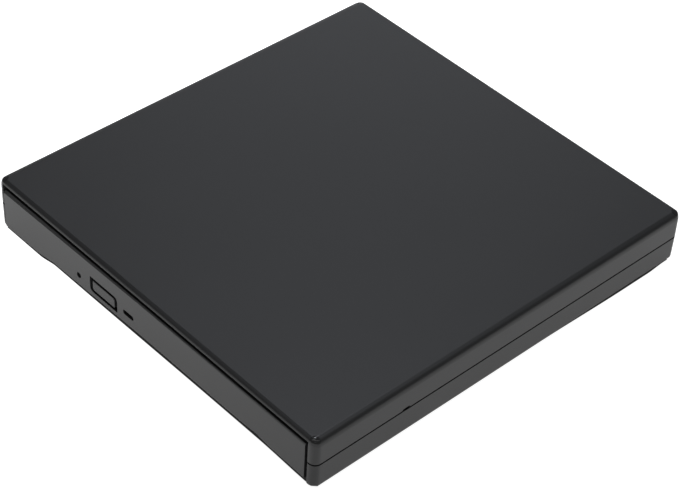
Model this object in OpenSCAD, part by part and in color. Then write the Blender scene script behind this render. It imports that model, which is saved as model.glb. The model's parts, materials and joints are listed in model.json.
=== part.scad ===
// External slim disc drive: a two-part plastic case around a slim drive with a sliding tray.
// Frame: +X right, -Y front, +Z up, Z = 0 under the rubber feet, centred in X and Y.

/* [Case] */
// Width of the case
case_w = 140; // [130:0.5:150]
// Depth of the case
case_d = 145; // [138:0.5:155]
// Height of the case shells without the feet
shell_h = 17.4; // [17.2:0.1:19]
// How far the rubber feet stand out below the case
foot_h = 0.6; // [0.3:0.1:1.5]
// Thickness of the side walls
side_wall = 2.4; // [1.8:0.1:2.6]
// Thickness of the rear wall
rear_wall = 1.8; // [1.2:0.1:2]
// Thickness of the roof
roof_t = 1.5; // [1:0.1:1.6]
// Thickness of the floor
floor_t = 1.5; // [1:0.1:1.6]
// Radius of the case's upright corners
corner_r = 2.3; // [1.8:0.1:4]
// Radius of the round along the top edges
top_fillet = 1.6; // [0.8:0.1:1.7]
// Height of the seam above the case's underside
seam_rise = 8.75; // [8.6:0.05:9.5]
// Visible gap at the seam
seam_gap = 0.4; // [0.2:0.05:0.6]
// How far the lower shell's sides lean in towards the underside
lower_draft = 0.5; // [0.1:0.05:0.8]
// Radius of the round along the bottom edges
bottom_fillet = 0.8; // [0.3:0.1:1]
// Thickness of the tongue that locates the two shells
tongue_t = 0.9; // [0.6:0.1:1]
// Height of the tongue above the seam
tongue_h = 1.2; // [0.8:0.1:1.6]
// Height of the roof's lip over the bezel
lip_h = 1.7; // [1.6:0.1:2.1]
// Depth of the lip from front to back
lip_t = 1.5; // [1:0.1:2.5]
// Width of the pry notch in the right seam
notch_w = 2.6; // [1.5:0.1:4]
// Place of the pry notch in front of the case's middle
notch_y = 39.3; // [30:0.1:45]
// Radius of a rubber foot
foot_r = 4.5; // [3:0.1:5]
// Distance from the case's side to a foot's middle
foot_inset_x = 13; // [11:0.5:16]
// Distance from the case's front or rear to a foot's middle
foot_inset_y = 15; // [15:0.5:18]
// How deep a foot sits in the floor
foot_sink = 0.5; // [0.2:0.1:0.8]

/* [Bezel] */
// Gap between each end of the bezel and the case's side
bezel_end_gap = 0.55; // [0.4:0.05:0.8]
// Thickness of the bezel
bezel_t = 2.6; // [2:0.1:2.8]
// Gap between the lip and the bezel
bezel_gap = 0.8; // [0.3:0.05:0.9]
// Height of the bezel's lower edge above the case's underside, in the middle
bezel_rise = 1.5; // [1:0.1:2]
// How much lower the bezel hangs at its ends
bezel_drop = 1; // [0.2:0.1:1]
// Length of each low end of the bezel
bezel_end = 16; // [8:0.5:20]
// Length of the slope from a low end to the middle
bezel_slope = 7; // [3:0.5:10]
// Radius of the round along the bezel's top edge
bezel_round = 0.6; // [0.2:0.1:1]
// Width of the eject button
button_w = 10.8; // [8:0.1:13]
// Height of the eject button
button_h = 4; // [3:0.1:4.4]
// Gap round the eject button
button_gap = 0.25; // [0.15:0.05:0.4]
// Distance of the eject button to the left of the middle
button_x = 19.6; // [18:0.1:21]
// Height of the eject button's middle above the case's underside
button_z = 6.5; // [6:0.1:6.6]
// Travel of the eject button
button_travel = 0.6; // [0.3:0.1:0.9]
// Cut across the button's rounded corners
button_corner = 1.1; // [0.4:0.1:1.5]
// Distance of the emergency pinhole to the left of the middle
pinhole_x = 31.3; // [30:0.1:32.5]
// Height of the pinhole above the case's underside
pinhole_z = 5.5; // [5:0.1:6.5]
// Radius of the pinhole
pinhole_r = 0.6; // [0.4:0.05:0.9]
// Distance of the lamp slit to the left of the middle
lamp_x = 8.45; // [7:0.05:9]
// Height of the lamp slit above the case's underside
lamp_z = 6.3; // [5.8:0.1:7]
// Width of the lamp slit
lamp_w = 4.1; // [2:0.1:5]
// Height of the lamp slit
lamp_h = 0.9; // [0.5:0.1:1.2]

/* [Drive] */
// Gap between the drive and each side of the case
side_gap = 3.6; // [3:0.1:4]
// Room between the drive and the rear wall
rear_bay = 11.7; // [11.4:0.1:13]
// Gap between the drive and the roof
roof_gap = 1.2; // [0.6:0.1:1.4]
// Sheet thickness of the chassis
sheet_t = 0.5; // [0.4:0.05:0.6]
// Sheet thickness of the drive's lid
lid_t = 0.6; // [0.4:0.05:0.7]
// Height of the ribs that carry the drive
drive_lift = 0.5; // [0.3:0.05:0.7]
// Distance from the case's front to the chassis
drive_back = 4.5; // [4.3:0.1:5]
// Space above the disc well's floor for a disc
disc_space = 4.5; // [4.4:0.05:4.7]
// Thickness of the two upper circuit boards
board_t = 0.8; // [0.6:0.1:1]

/* [Tray] */
// Width of the tray beside the disc well at its narrowest
tray_lip = 2.4; // [2:0.1:3]
// Depth of the disc well
well_depth = 2.6; // [1.8:0.1:3]
// Thickness of the well's floor
deck_t = 1.4; // [1.2:0.1:1.5]
// Radius of the inner well for small discs
mini_r = 40.5; // [40.2:0.1:42]
// Depth of the inner well
mini_step = 0.5; // [0.2:0.1:0.7]
// Width of the rim in front of and behind the well
tray_rim = 1.4; // [1:0.1:1.5]
// How far the tray slides out
tray_travel = 124; // [110:1:124]
// Room between the tray and the rear of the chassis
tray_back = 4.9; // [4.5:0.1:6]
// Gap between the tray and the chassis's floor
tray_lift = 0.6; // [0.45:0.05:0.7]
// Sheet thickness of the tray's bottom plate
plate_t = 0.4; // [0.3:0.05:0.5]

/* [Rails] */
// How much shorter a slide rail is than its guide
rail_short = 4; // [2:0.5:12]
// Width of a slide rail
rail_w = 3.2; // [3:0.1:3.4]
// Height of a slide rail
rail_h = 2; // [1.4:0.1:2.4]
// Clearance round a slide rail
rail_clear = 0.2; // [0.1:0.05:0.3]
// Distance from the end of a guide to the rear of the chassis
guide_back = 11.5; // [8:0.5:24]
// Height of the guides
guide_h = 5.2; // [4.8:0.1:5.3]

/* [Spindle] */
// Height of a disc's underside above the well's floor
disc_lift = 1.2; // [1.1:0.05:1.3]
// Radius of the hub that enters a disc's hole
hub_r = 7.45; // [7.3:0.01:7.48]
// Height of the hub's wall that centres a disc
hub_h = 1.25; // [1.1:0.05:1.3]
// Radius of the turntable
turntable_r = 13.2; // [12.8:0.1:13.4]
// Radius of the motor's rotor
rotor_r = 12.5; // [12:0.1:12.7]
// Radius of the spindle's shaft
shaft_r = 1; // [0.8:0.05:1.2]
// How far a clamping pawl stands out of the hub
pawl_out = 0.4; // [0.2:0.05:0.5]
// Width of a clamping pawl
pawl_w = 2; // [1.5:0.1:2.6]

/* [Pickup] */
// Angle of the pickup's path from the right towards the front
sled_angle = 45; // [44:0.5:46]
// Distance of the lens from the spindle at the inner end of its path
lens_in = 24; // [23.5:0.1:25]
// Distance of the lens from the well's edge at the outer end of its path
lens_edge = 4.6; // [4.6:0.1:10]
// Radius of the guide rods
rod_r = 1; // [0.8:0.05:1.1]
// Distance of the main guide rod from the lens's path
main_rod_v = 16; // [15.8:0.1:16.2]
// Distance of the second guide rod from the lens's path
sub_rod_v = 14.5; // [14.3:0.1:14.6]
// Distance of the lead screw from the lens's path
screw_v = 20; // [19.8:0.1:20.2]
// Radius of the lead screw
screw_r = 1.1; // [0.9:0.05:1.2]
// Radius of the objective lens
lens_r = 2; // [1.5:0.1:2.4]
// Travel of the lens up and down from rest
focus_travel = 0.4; // [0.2:0.05:0.45]

/* [Sockets] */
// Distance of the data socket's middle from the right end of its board
usb_inset = 20; // [19.5:0.5:24]
// Width of the data socket
usb_w = 7.7; // [7.5:0.1:8.4]
// Height of the data socket
usb_h = 3.9; // [3.7:0.1:4.1]
// Distance of the power socket's middle from the left end of its board
power_inset = 16; // [14:0.5:20]
// Radius of the power socket's hole
power_r = 1.75; // [1.5:0.05:1.9]

/* [Hidden] */
$fn = 64;

// Clearances
snug = 0.1;        // between pieces that are fitted once
free = 0.3;        // between pieces that pass each other
running = 0.03;    // round a shaft that turns or slides
over = 1;          // how far a cut runs past what it cuts

// Heights, from the feet up
shell_z = foot_h;
case_top = shell_z + shell_h;
floor_z = shell_z + floor_t;
roof_z = case_top - roof_t;
seam_z = shell_z + seam_rise;
tongue_top = seam_z + tongue_h;
drive_z = floor_z + drive_lift;
pan_z = drive_z + sheet_t;
lid_top = roof_z - roof_gap;
lid_z = lid_top - lid_t;
plate_z = pan_z + tray_lift;
plate_top = plate_z + plate_t;
well_z = lid_z - disc_space;
deck_z = well_z - deck_t;
rim_z = well_z + well_depth;
guide_top = pan_z + guide_h;
rail_z = pan_z + guide_h / 2;
mech_z = plate_top + free;
mech_t = 0.8;
mech_top = mech_z + mech_t;
board_z = plate_top + free;
board_top = board_z + board_t;
bezel_top = case_top - lip_h - bezel_gap;

// Places from front to back
front_y = -case_d / 2;
rear_y = case_d / 2;
rear_in = rear_y - rear_wall;
tray_front = front_y + bezel_t;
drive_front = front_y + drive_back;
drive_rear = rear_in - rear_bay;
tray_rear = drive_rear - tray_back;
disc_y = (tray_front + tray_rear) / 2;
drive_rear_in = drive_rear - sheet_t;
rear_screw_y = rear_in - 5.7;
floor_front = tray_front + free + 0.5;
feet = [for (x = [-1, 1], y = [-1, 1]) [x * (case_w / 2 - foot_inset_x), y * (case_d / 2 - foot_inset_y)]];

// Places from the middle to the side
case_in = case_w / 2 - side_wall;
bezel_half = case_in - bezel_end_gap;
drive_half = case_in - side_gap;
drive_in = drive_half - sheet_t;
lid_flange = drive_half + sheet_t;
tray_half = drive_in - 0.5;
well_r = min(tray_half - tray_lip, (tray_rear - tray_front) / 2 - tray_rim);
guide_in = drive_in - 2.1;
tray_side = guide_in - free;
rail_out = drive_in - 0.6;
rail_in = rail_out - rail_w;
groove_in = rail_in - rail_clear;
tray_wall_in = groove_in - 1.2;
rail_front = drive_front + 3.5;
guide_front = drive_front + 1.5;
guide_l = drive_rear - guide_back - guide_front;
rail_l = guide_l - rail_short;

// Fasteners
head_r = 1.9;
head_h = 0.9;
shank_r = 0.95;
boss_r = 2.6;
small_head_r = 1.3;
small_head_h = 0.5;
small_shank_r = 0.7;
screw_fit = 0.05;
case_screw_x = case_in - 6.6;
drive_screw_x = drive_half - 9;
drive_screw_ys = [drive_front + 28, drive_rear - 14];
rib_ys = [drive_front + 18, (drive_front + drive_rear) / 2, drive_rear - 4];
rib_t = 2;
lid_screw_ys = [drive_front + 30, drive_rear - 26];
lid_screw_z = lid_z - 2.2;
lid_flange_h = 4;

// Rear electronics
bridge_half = case_in - 21.6;
bridge_t = 1;
bridge_z = floor_z + 1.3;
bridge_top = bridge_z + bridge_t;
bridge_front = drive_rear + 1.5;
bridge_rear = rear_in - 0.5;
bridge_post_x = bridge_half - 3;
bridge_post_y = (bridge_front + bridge_rear) / 2;
usb_x = bridge_half - usb_inset;
usb_depth = 9;
usb_skin = 0.4;
usb_hole_gap = 0.3;
usb_rear = rear_y - 0.3;
power_x = bridge_half - power_inset;
power_w = 6;
power_body_h = 4.2;
power_nose_r = power_r + 0.45;
power_zc = bridge_top + power_body_h / 2;
power_rear = rear_y - 0.4;
power_front = bridge_rear - 8;
bridge_chip = [6, 6, 1];
bridge_chip_in = 12;
crystal = [3.2, 1.8, 1.2];
capacitor = [0.8, 1.6, 0.6];
capacitor_pitch = 1.6;
sata_half = 17;
sata_h = 3.4;
sata_z = bridge_top;
sata_split = drive_rear + 1.8;
sata_depth = 5;
rear_board_y = drive_rear_in - 1.8;
rear_board_t = 0.8;

// Bezel pieces
button_mid = [-button_x, shell_z + button_z];
hole_w = button_w + 2 * button_gap;
hole_h = button_h + 2 * button_gap;
button_flange = tray_front + 0.8;
flange_w = button_w + 1.4;
flange_h = button_h + 0.3;
button_back = button_flange + 1.1;
switch_front = button_back + button_travel + snug;
lamp_mid = [-lamp_x, shell_z + lamp_z];
lamp_fit = 0.1;
window_left = -pinhole_x - 3;
window_right = -lamp_x + lamp_w / 2 + 2;
lug_x = tray_wall_in - 10.3;
lug_w = 6;
lug_h = 1.6;
lug_l = 1.2;

// Latch
post_r = 1.2;
post_x = 20.3 - tray_wall_in;
post_y = tray_front + 12;
post_top = plate_top + 2.4;
latch_pivot_x = post_x - 4;
latch_pivot_y = post_y - 8;
latch_pin_r = 1;
latch_t = 1.2;
latch_z = plate_top + 0.5;
hook_l = 12.3;
hook_tip = 1.8;
latch_tail = 11;
channel_half = post_r + 1;

// Boards in the tray
front_board_left = latch_pivot_x + latch_tail + 2.5;
front_board_right = 5.45 - lamp_x;
front_board_rear = tray_front + 11.5;
main_board_left = post_x + channel_half + 2.8;
main_board_right = tray_wall_in - 3.3;
main_board_front = disc_y + 27;
main_board_rear = tray_rear - tray_rim - 1.2;
ribbon_w = 16;
ribbon_t = 0.15;
ribbon_in = 39;
ribbon_slack = 4;
ribbon_x = main_board_left + ribbon_in;
ribbon_up = main_board_front - 1.4;
ribbon_fold = ribbon_up - (tray_travel + ribbon_slack) / 2;
main_chips_at = [[25, -7], [49, -3], [67, -4]];
main_chip_sizes = [[14, 14, 1.2], [10, 8, 1], [7, 7, 1]];

// Ejector
ejector_x = 8.3 - tray_wall_in;
ejector_r = 1.2;
ejector_z = (plate_top + deck_z) / 2;
ejector_travel = 10;
ejector_tip = drive_rear_in - free;
collar_r = 2.1;
collar_t = 1;
ejector_collar = tray_rear - tray_rim - collar_t - ejector_travel - 2.6;
ejector_block = ejector_collar - 15;
ejector_tail = ejector_block - 7;

// Spindle
disc_z = well_z + disc_lift;
pad_t = 0.5;
pad_w = 3.2;
pad_out = turntable_r - 0.2;
pad_in = pad_out - pad_w;
turntable_t = 1.3;
turntable_top = disc_z - pad_t;
turntable_z = turntable_top - turntable_t;
rotor_wall = 1.1;
rotor_roof = 0.7;
rotor_z = mech_top + 1;
base_t = 0.6;
base_r = rotor_r - rotor_wall - 0.9;
sleeve_r = shaft_r + 1.4;
sleeve_top = turntable_z - rotor_roof - free;
stator_z = mech_top + base_t + free;
stator_h = 1.6;
stator_r = rotor_r - rotor_wall - 1.6;
pole_count = 9;
pawl_h = 0.6;
pawl_z = disc_z + hub_h + running;
pawl_clear = 0.05;
pawl_in = 3.2;
hub_top = pawl_z + pawl_h + pawl_clear;
hub_cap = 0.45;
collar_step = 0.3;

// Pickup
lens_out = well_r - lens_edge;
sled_back = 9.5;
sled_front = 6.5;
sled_z = mech_top + free;
sled_h = 2.6;
sled_top = sled_z + sled_h;
cover_t = 0.3;
rod_z = sled_z + 1.5;
rod_fit = 0.02;
stand_t = 2;
stand_half = rod_r + 0.7;
stand_top = rod_z + rod_r + 0.5;
rod_start = lens_in - sled_back - 3.5;
rod_end = lens_out + sled_front + 2.5;
lug_half = rod_r + 1;
lug_in = main_rod_v - lug_half - 0.5;
fork_in = sub_rod_v - 2.5;
fork_out = sub_rod_v + 1.8;
pocket_u = 4.2;
pocket_v = 6;
pocket_z = sled_z + 1.1;
holder_u = 3;
holder_v = 4.4;
holder_z = pocket_z + focus_travel + 0.2;
holder_h = 2;
lens_h = 0.7;
nut_front = -2;
nut_back = -8;
nut_half = screw_r + 1;
nut_gap = 0.15;
screw_end = lens_out + 6;
motor_front = 8.5;
motor_l = 9.5;
motor_r = 2.9;
motor_h = 3.5;
bushes = [[-15, -17], [-14, 15], [28, -27], [30, 21.5]];
bush_r = 3;
bush_flange = 0.5;
bush_pin_r = 1.6;
bush_top = mech_top + 1.2;
opening_front = lens_out - 4;
opening_nose = lens_out + 5.5;
nose_half = holder_v + 1.6;
spindle_opening = turntable_r + 2;

plastic_black = [0.17, 0.17, 0.18];
plastic_dark = [0.1, 0.1, 0.11];
steel = [0.72, 0.73, 0.75];
dark_steel = [0.45, 0.46, 0.48];
board_green = [0.09, 0.3, 0.17];
chip_black = [0.06, 0.06, 0.07];
rubber = [0.05, 0.05, 0.05];
white_plastic = [0.88, 0.88, 0.86];
copper = [0.72, 0.42, 0.22];
lens_blue = [0.55, 0.66, 0.8];

// A box from one corner to the opposite one
module block(from, to) {
    translate(from) cube(to - from);
}

// A round post on the point at, from one height to another
module post(at, r, from, to) {
    translate([at.x, at.y, from]) cylinder(r = r, h = to - from);
}

// A ring on the Z axis
module ring(outer, inner, from, to) {
    difference() {
        post([0, 0], outer, from, to);
        post([0, 0], inner, from - over, to + over);
    }
}

// What is drawn, and its mirror image across the middle
module both_sides() {
    children();
    mirror([1, 0, 0]) children();
}

// The frame of the pickup: origin on the spindle, +X along the lens's path
module at_mechanism() {
    translate([0, disc_y, 0]) rotate(-sled_angle) children();
}

// A round rod along X
module rod_along_x(from, to, v, z, r) {
    translate([from, v, z]) rotate([0, 90, 0]) cylinder(r = r, h = to - from);
}

// A round rod along Y
module rod_along_y(from, to, x, z, r) {
    translate([x, from, z]) rotate([-90, 0, 0]) cylinder(r = r, h = to - from);
}

// Sweeps a profile, drawn outwards from x = 0, round the case's outline
module case_rim() {
    for (i = [0:3]) {
        half = i % 2 == 0 ? case_w / 2 : case_d / 2;
        run = (i % 2 == 0 ? case_d : case_w) - 2 * corner_r;
        rotate(90 * i) translate([half - corner_r, run / 2, 0]) {
            rotate([90, 0, 0]) linear_extrude(run) children();
            rotate_extrude(angle = 90) children();
        }
    }
}

// A case shell: the swept rim and the block inside it
module case_block(from, to) {
    case_rim() children();
    block(
        [corner_r - case_w / 2, corner_r - case_d / 2, from],
        [case_w / 2 - corner_r, case_d / 2 - corner_r, to]
    );
}

// Profile of the upper shell's rim, with its round top edge
module upper_profile() {
    from = seam_z + seam_gap / 2;
    difference() {
        translate([0, from]) square([corner_r, case_top - from]);
        translate([corner_r - top_fillet, case_top - top_fillet]) difference() {
            square(top_fillet + over);
            circle(top_fillet);
        }
    }
}

// Profile of the lower shell's rim, with its round bottom edge
module lower_profile() {
    difference() {
        translate([0, shell_z]) square([corner_r, seam_z - seam_gap / 2 - shell_z]);
        translate([corner_r - bottom_fillet, shell_z + bottom_fillet]) difference() {
            translate([0, -bottom_fillet - over]) square(bottom_fillet + over);
            circle(bottom_fillet);
        }
    }
}

// The space between the lower shell's leaning sides
module side_lean() {
    top = seam_z - seam_gap / 2;
    half = case_w / 2;
    upright(front_y - over, rear_y + over) polygon([
        [lower_draft - half, shell_z], [half - lower_draft, shell_z], [half, top], [-half, top]
    ]);
}

// The ring on which the shells meet, inside the walls, at a thickness from the inner faces
module tongue_ring(thick, from, to) {
    difference() {
        block([-case_in - thick, front_y + lip_t, from], [case_in + thick, rear_in + thick, to]);
        block([-case_in, front_y - over, from - over], [case_in, rear_in, to + over]);
    }
}

// Snap ribs on the tongue's sides
module snap_ribs(grow) {
    both_sides() for (y = rib_ys)
        block(
            [case_in + tongue_t - 0.2, y - 4 - grow, seam_z + 0.5 - grow],
            [case_in + tongue_t + 0.25 + grow, y + 4 + grow, seam_z + 0.9 + grow]
        );
}

module top_cover() {
    color(plastic_black) difference() {
        union() {
            difference() {
                case_block(seam_z + seam_gap / 2, case_top) upper_profile();
                block([-case_in, front_y + lip_t, 0], [case_in, rear_in, roof_z]);
                block([-case_in, front_y - over, 0], [case_in, front_y + lip_t + over, case_top - lip_h]);
                tongue_ring(tongue_t + snug, 0, tongue_top);
                snap_ribs(snug);
                block(
                    [case_in + tongue_t + snug, -notch_y - notch_w / 2, 0],
                    [case_w / 2 + over, -notch_y + notch_w / 2, seam_z + seam_gap / 2 + 0.8]
                );
            }
            both_sides() post([case_screw_x, rear_screw_y], boss_r, seam_z, roof_z);
            for (y = rib_ys)
                block([-drive_half + 14, y - rib_t / 2, lid_top], [drive_half - 14, y + rib_t / 2, roof_z]);
        }
        both_sides() post([case_screw_x, rear_screw_y], shank_r + screw_fit, 0, roof_z - 1);
    }
}

module bottom_cover() {
    color(plastic_black) difference() {
        union() {
            difference() {
                intersection() {
                    case_block(shell_z, seam_z - seam_gap / 2) lower_profile();
                    side_lean();
                }
                block([-case_in, front_y + lip_t, floor_z], [case_in, rear_in, case_top]);
                block([-case_in, front_y - over, 0], [case_in, floor_front, case_top]);
            }
            tongue_ring(tongue_t, seam_z - seam_gap, tongue_top);
            snap_ribs(0);
            both_sides() {
                post([case_screw_x, rear_screw_y], boss_r, floor_z, seam_z);
                for (y = rib_ys)
                    block([drive_half + snug, y - rib_t / 2, floor_z], [case_in, y + rib_t / 2, seam_z - 1]);
                for (y = drive_screw_ys)
                    post([drive_screw_x, y], boss_r, floor_z, drive_z);
                post([bridge_post_x, bridge_post_y], boss_r, floor_z, bridge_z);
            }
            for (y = rib_ys)
                block([-drive_half + 4, y - rib_t / 2, floor_z], [drive_half - 4, y + rib_t / 2, drive_z]);
        }
        both_sides() {
            post([case_screw_x, rear_screw_y], shank_r + screw_fit, 0, case_top);
            post([case_screw_x, rear_screw_y], head_r + snug, 0, shell_z + head_h);
            for (y = drive_screw_ys) {
                post([drive_screw_x, y], shank_r + screw_fit, 0, case_top);
                post([drive_screw_x, y], head_r + snug, 0, shell_z + head_h);
            }
            post([bridge_post_x, bridge_post_y], small_shank_r + screw_fit, floor_z - 0.5, case_top);
        }
        for (at = feet) post(at, foot_r, 0, shell_z + foot_sink);
        block(
            [usb_x - usb_w / 2 - usb_hole_gap, rear_in - over, bridge_top - usb_hole_gap],
            [usb_x + usb_w / 2 + usb_hole_gap, rear_y + over, bridge_top + usb_h + usb_hole_gap]
        );
        rod_along_y(rear_in - over, rear_y + over, -power_x, power_zc, power_nose_r + snug);
    }
}

module rubber_feet() {
    color(rubber) for (at = feet) post(at, foot_r, 0, shell_z + foot_sink);
}

// A pan-head screw standing head down, with a cross recess
module screw(at, head, head_t, shank, from, to) {
    difference() {
        union() {
            post(at, head, from, from + head_t);
            post(at, shank, from, to);
        }
        for (turn = [0, 90])
            translate([at.x, at.y, from]) rotate(turn) cube([head * 1.2, head * 0.3, head_t], center = true);
    }
}

module case_screws() {
    color(dark_steel) both_sides()
        screw([case_screw_x, rear_screw_y], head_r, head_h - 0.2, shank_r, shell_z + 0.2, roof_z - 1.5);
}

module drive_screws() {
    color(dark_steel) both_sides() for (y = drive_screw_ys)
        screw([drive_screw_x, y], head_r, head_h - 0.2, shank_r, shell_z + 0.2, pan_z);
}

module bridge_board() {
    color(board_green) difference() {
        block([-bridge_half, bridge_front, bridge_z], [bridge_half, bridge_rear, bridge_top]);
        both_sides() post([bridge_post_x, bridge_post_y], small_shank_r + screw_fit, 0, case_top);
    }
}

module bridge_chips() {
    usb_side = usb_x + usb_w / 2 + 0.7;
    power_side = -power_x - power_w / 2;
    color(chip_black) {
        translate([bridge_half - bridge_chip_in, bridge_front + 1, bridge_top]) cube(bridge_chip);
        translate([usb_x - crystal.x / 2, bridge_front + 0.4, bridge_top]) cube(crystal);
        for (i = [1:3])
            translate([power_side - i * capacitor_pitch, bridge_front + 1.2, bridge_top]) cube(capacitor);
        for (i = [0:1])
            translate([usb_side + i * capacitor_pitch, bridge_front + 1.2, bridge_top]) cube(capacitor);
    }
}

module board_screws() {
    color(dark_steel) both_sides()
        translate([bridge_post_x, bridge_post_y, bridge_top]) mirror([0, 0, 1])
            screw([0, 0], small_head_r, small_head_h, small_shank_r, -small_head_h, bridge_top - floor_z);
}

module usb_socket() {
    color(steel) {
        difference() {
            block(
                [usb_x - usb_w / 2, usb_rear - usb_depth, bridge_top],
                [usb_x + usb_w / 2, usb_rear, bridge_top + usb_h]
            );
            block(
                [usb_x - usb_w / 2 + usb_skin, usb_rear - usb_depth + usb_skin, bridge_top + usb_skin],
                [usb_x + usb_w / 2 - usb_skin, usb_rear + over, bridge_top + usb_h - usb_skin]
            );
        }
        block(
            [usb_x - usb_w / 4, usb_rear - usb_depth + usb_skin, bridge_top + usb_h / 2 - 0.4],
            [usb_x + usb_w / 4, usb_rear - 1.5, bridge_top + usb_h / 2 + 0.4]
        );
    }
}

module power_socket() {
    color(chip_black) {
        difference() {
            union() {
                block(
                    [-power_x - power_w / 2, power_front, bridge_top],
                    [-power_x + power_w / 2, bridge_rear, bridge_top + power_body_h]
                );
                rod_along_y(bridge_rear, power_rear, -power_x, power_zc, power_nose_r);
            }
            rod_along_y(power_front + 1, rear_y + over, -power_x, power_zc, power_r);
        }
        rod_along_y(power_front + 1, power_rear - 0.8, -power_x, power_zc, power_r * 0.35);
    }
}

module sata_socket() {
    color(chip_black) difference() {
        block([-sata_half, sata_split, sata_z], [sata_half, sata_split + sata_depth, sata_z + sata_h]);
        block(
            [1 - sata_half, sata_split - over, sata_z + 1],
            [sata_half - 1, sata_split + 2, sata_z + sata_h - 1]
        );
    }
}

module drive_chassis() {
    color(steel) difference() {
        block([-drive_half, drive_front, drive_z], [drive_half, drive_rear, lid_z]);
        block([-drive_in, drive_front - over, pan_z], [drive_in, drive_rear_in, case_top]);
        block(
            [-sata_half - snug, drive_rear_in - over, sata_z - snug],
            [sata_half + snug, drive_rear + over, sata_z + sata_h + snug]
        );
        both_sides() {
            for (y = drive_screw_ys) post([drive_screw_x, y], shank_r + screw_fit, 0, case_top);
            for (y = lid_screw_ys) translate([0, y, 0])
                rod_along_x(drive_in - over, drive_half + over, 0, lid_screw_z, small_shank_r + screw_fit);
        }
    }
}

module drive_lid() {
    color(steel) difference() {
        union() {
            block([-lid_flange, drive_front, lid_z], [lid_flange, drive_rear, lid_top]);
            both_sides() block(
                [drive_half, drive_front + 6, lid_z - lid_flange_h],
                [lid_flange, drive_rear - 6, lid_z]
            );
        }
        both_sides() for (y = lid_screw_ys) translate([0, y, 0])
            rod_along_x(drive_in - over, lid_flange + over, 0, lid_screw_z, small_shank_r + screw_fit);
    }
}

module lid_screws() {
    color(dark_steel) both_sides() for (y = lid_screw_ys)
        translate([lid_flange + small_head_h, y, lid_screw_z]) rotate([0, -90, 0])
            screw([0, 0], small_head_r, small_head_h, small_shank_r, 0, lid_flange + small_head_h - drive_in);
}

// A guide channel on the right wall of the chassis
module rail_guide() {
    color(white_plastic) difference() {
        block([guide_in, guide_front, pan_z], [drive_in, guide_front + guide_l, guide_top]);
        block(
            [guide_in - over, guide_front - over, rail_z - rail_h / 2 - rail_clear],
            [rail_out + rail_clear, guide_front + guide_l + over, rail_z + rail_h / 2 + rail_clear]
        );
    }
}

module right_rail_guide() {
    rail_guide();
}

module left_rail_guide() {
    mirror([1, 0, 0]) rail_guide();
}

// A slide rail on the right, half in its guide and half in the tray
module slide_rail() {
    color(steel) difference() {
        block(
            [rail_in, rail_front, rail_z - rail_h / 2],
            [rail_out, rail_front + rail_l, rail_z + rail_h / 2]
        );
        for (y = [rail_front + rail_l * 0.2, rail_front + rail_l * 0.8])
            post([(rail_in + rail_out) / 2, y], rail_w / 5, 0, case_top);
    }
}

module right_rail() {
    slide_rail();
}

module left_rail() {
    mirror([1, 0, 0]) slide_rail();
}

module rear_board() {
    color(board_green) block(
        [-sata_half - 6, rear_board_y, pan_z + snug],
        [sata_half + 6, rear_board_y + rear_board_t, sata_z + sata_h + 2]
    );
}

module sata_plug() {
    color(chip_black) {
        block(
            [-sata_half, rear_board_y + rear_board_t, sata_z],
            [sata_half, sata_split - snug, sata_z + sata_h]
        );
        block(
            [1.2 - sata_half, sata_split - snug, sata_z + 1.2],
            [sata_half - 1.2, sata_split + 1.7, sata_z + sata_h - 1.2]
        );
    }
}

module latch_post() {
    color(steel) post([post_x, post_y], post_r, pan_z, post_top);
}

// The folded flat cable: along the chassis's floor, back under the tray, and up to its board
module flex_cable() {
    low = pan_z + 0.05;
    high = plate_z - 0.05 - ribbon_t;
    color(white_plastic) translate([ribbon_x - ribbon_w / 2, 0, 0]) rotate([90, 0, 90])
        linear_extrude(ribbon_w) polygon([
            [rear_board_y, low], [ribbon_fold, low], [ribbon_fold, high + ribbon_t],
            [ribbon_up - ribbon_t, high + ribbon_t], [ribbon_up - ribbon_t, board_top],
            [ribbon_up, board_top], [ribbon_up, high],
            [ribbon_fold + ribbon_t, high], [ribbon_fold + ribbon_t, low + ribbon_t],
            [rear_board_y, low + ribbon_t]
        ]);
}

// The opening in the well's floor over the spindle and the pickup's path
module pickup_opening() {
    from = deck_z - over;
    to = well_z + 0.5;
    at_mechanism() {
        post([0, 0], spindle_opening, from, to);
        block([0, -main_rod_v - 2, from], [opening_front, sub_rod_v + 2.5, to]);
        block([opening_front - over, -nose_half, from], [opening_nose, nose_half, to]);
    }
}

// The tray's deck and walls before its wells and openings are cut
module tray_body() {
    block([-tray_half, tray_front, deck_z], [tray_half, tray_rear, rim_z]);
    both_sides() block([tray_wall_in, tray_front, plate_top], [tray_side, tray_rear, deck_z]);
    block([-tray_side, tray_front, plate_top], [tray_side, tray_front + tray_rim, deck_z]);
    block([-tray_side, tray_rear - tray_rim, plate_top], [tray_side, tray_rear, deck_z]);
    block(
        [ejector_x - 3.5, ejector_block - 2.5, plate_top],
        [ejector_x + 3.5, ejector_block, deck_z]
    );
}

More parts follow.
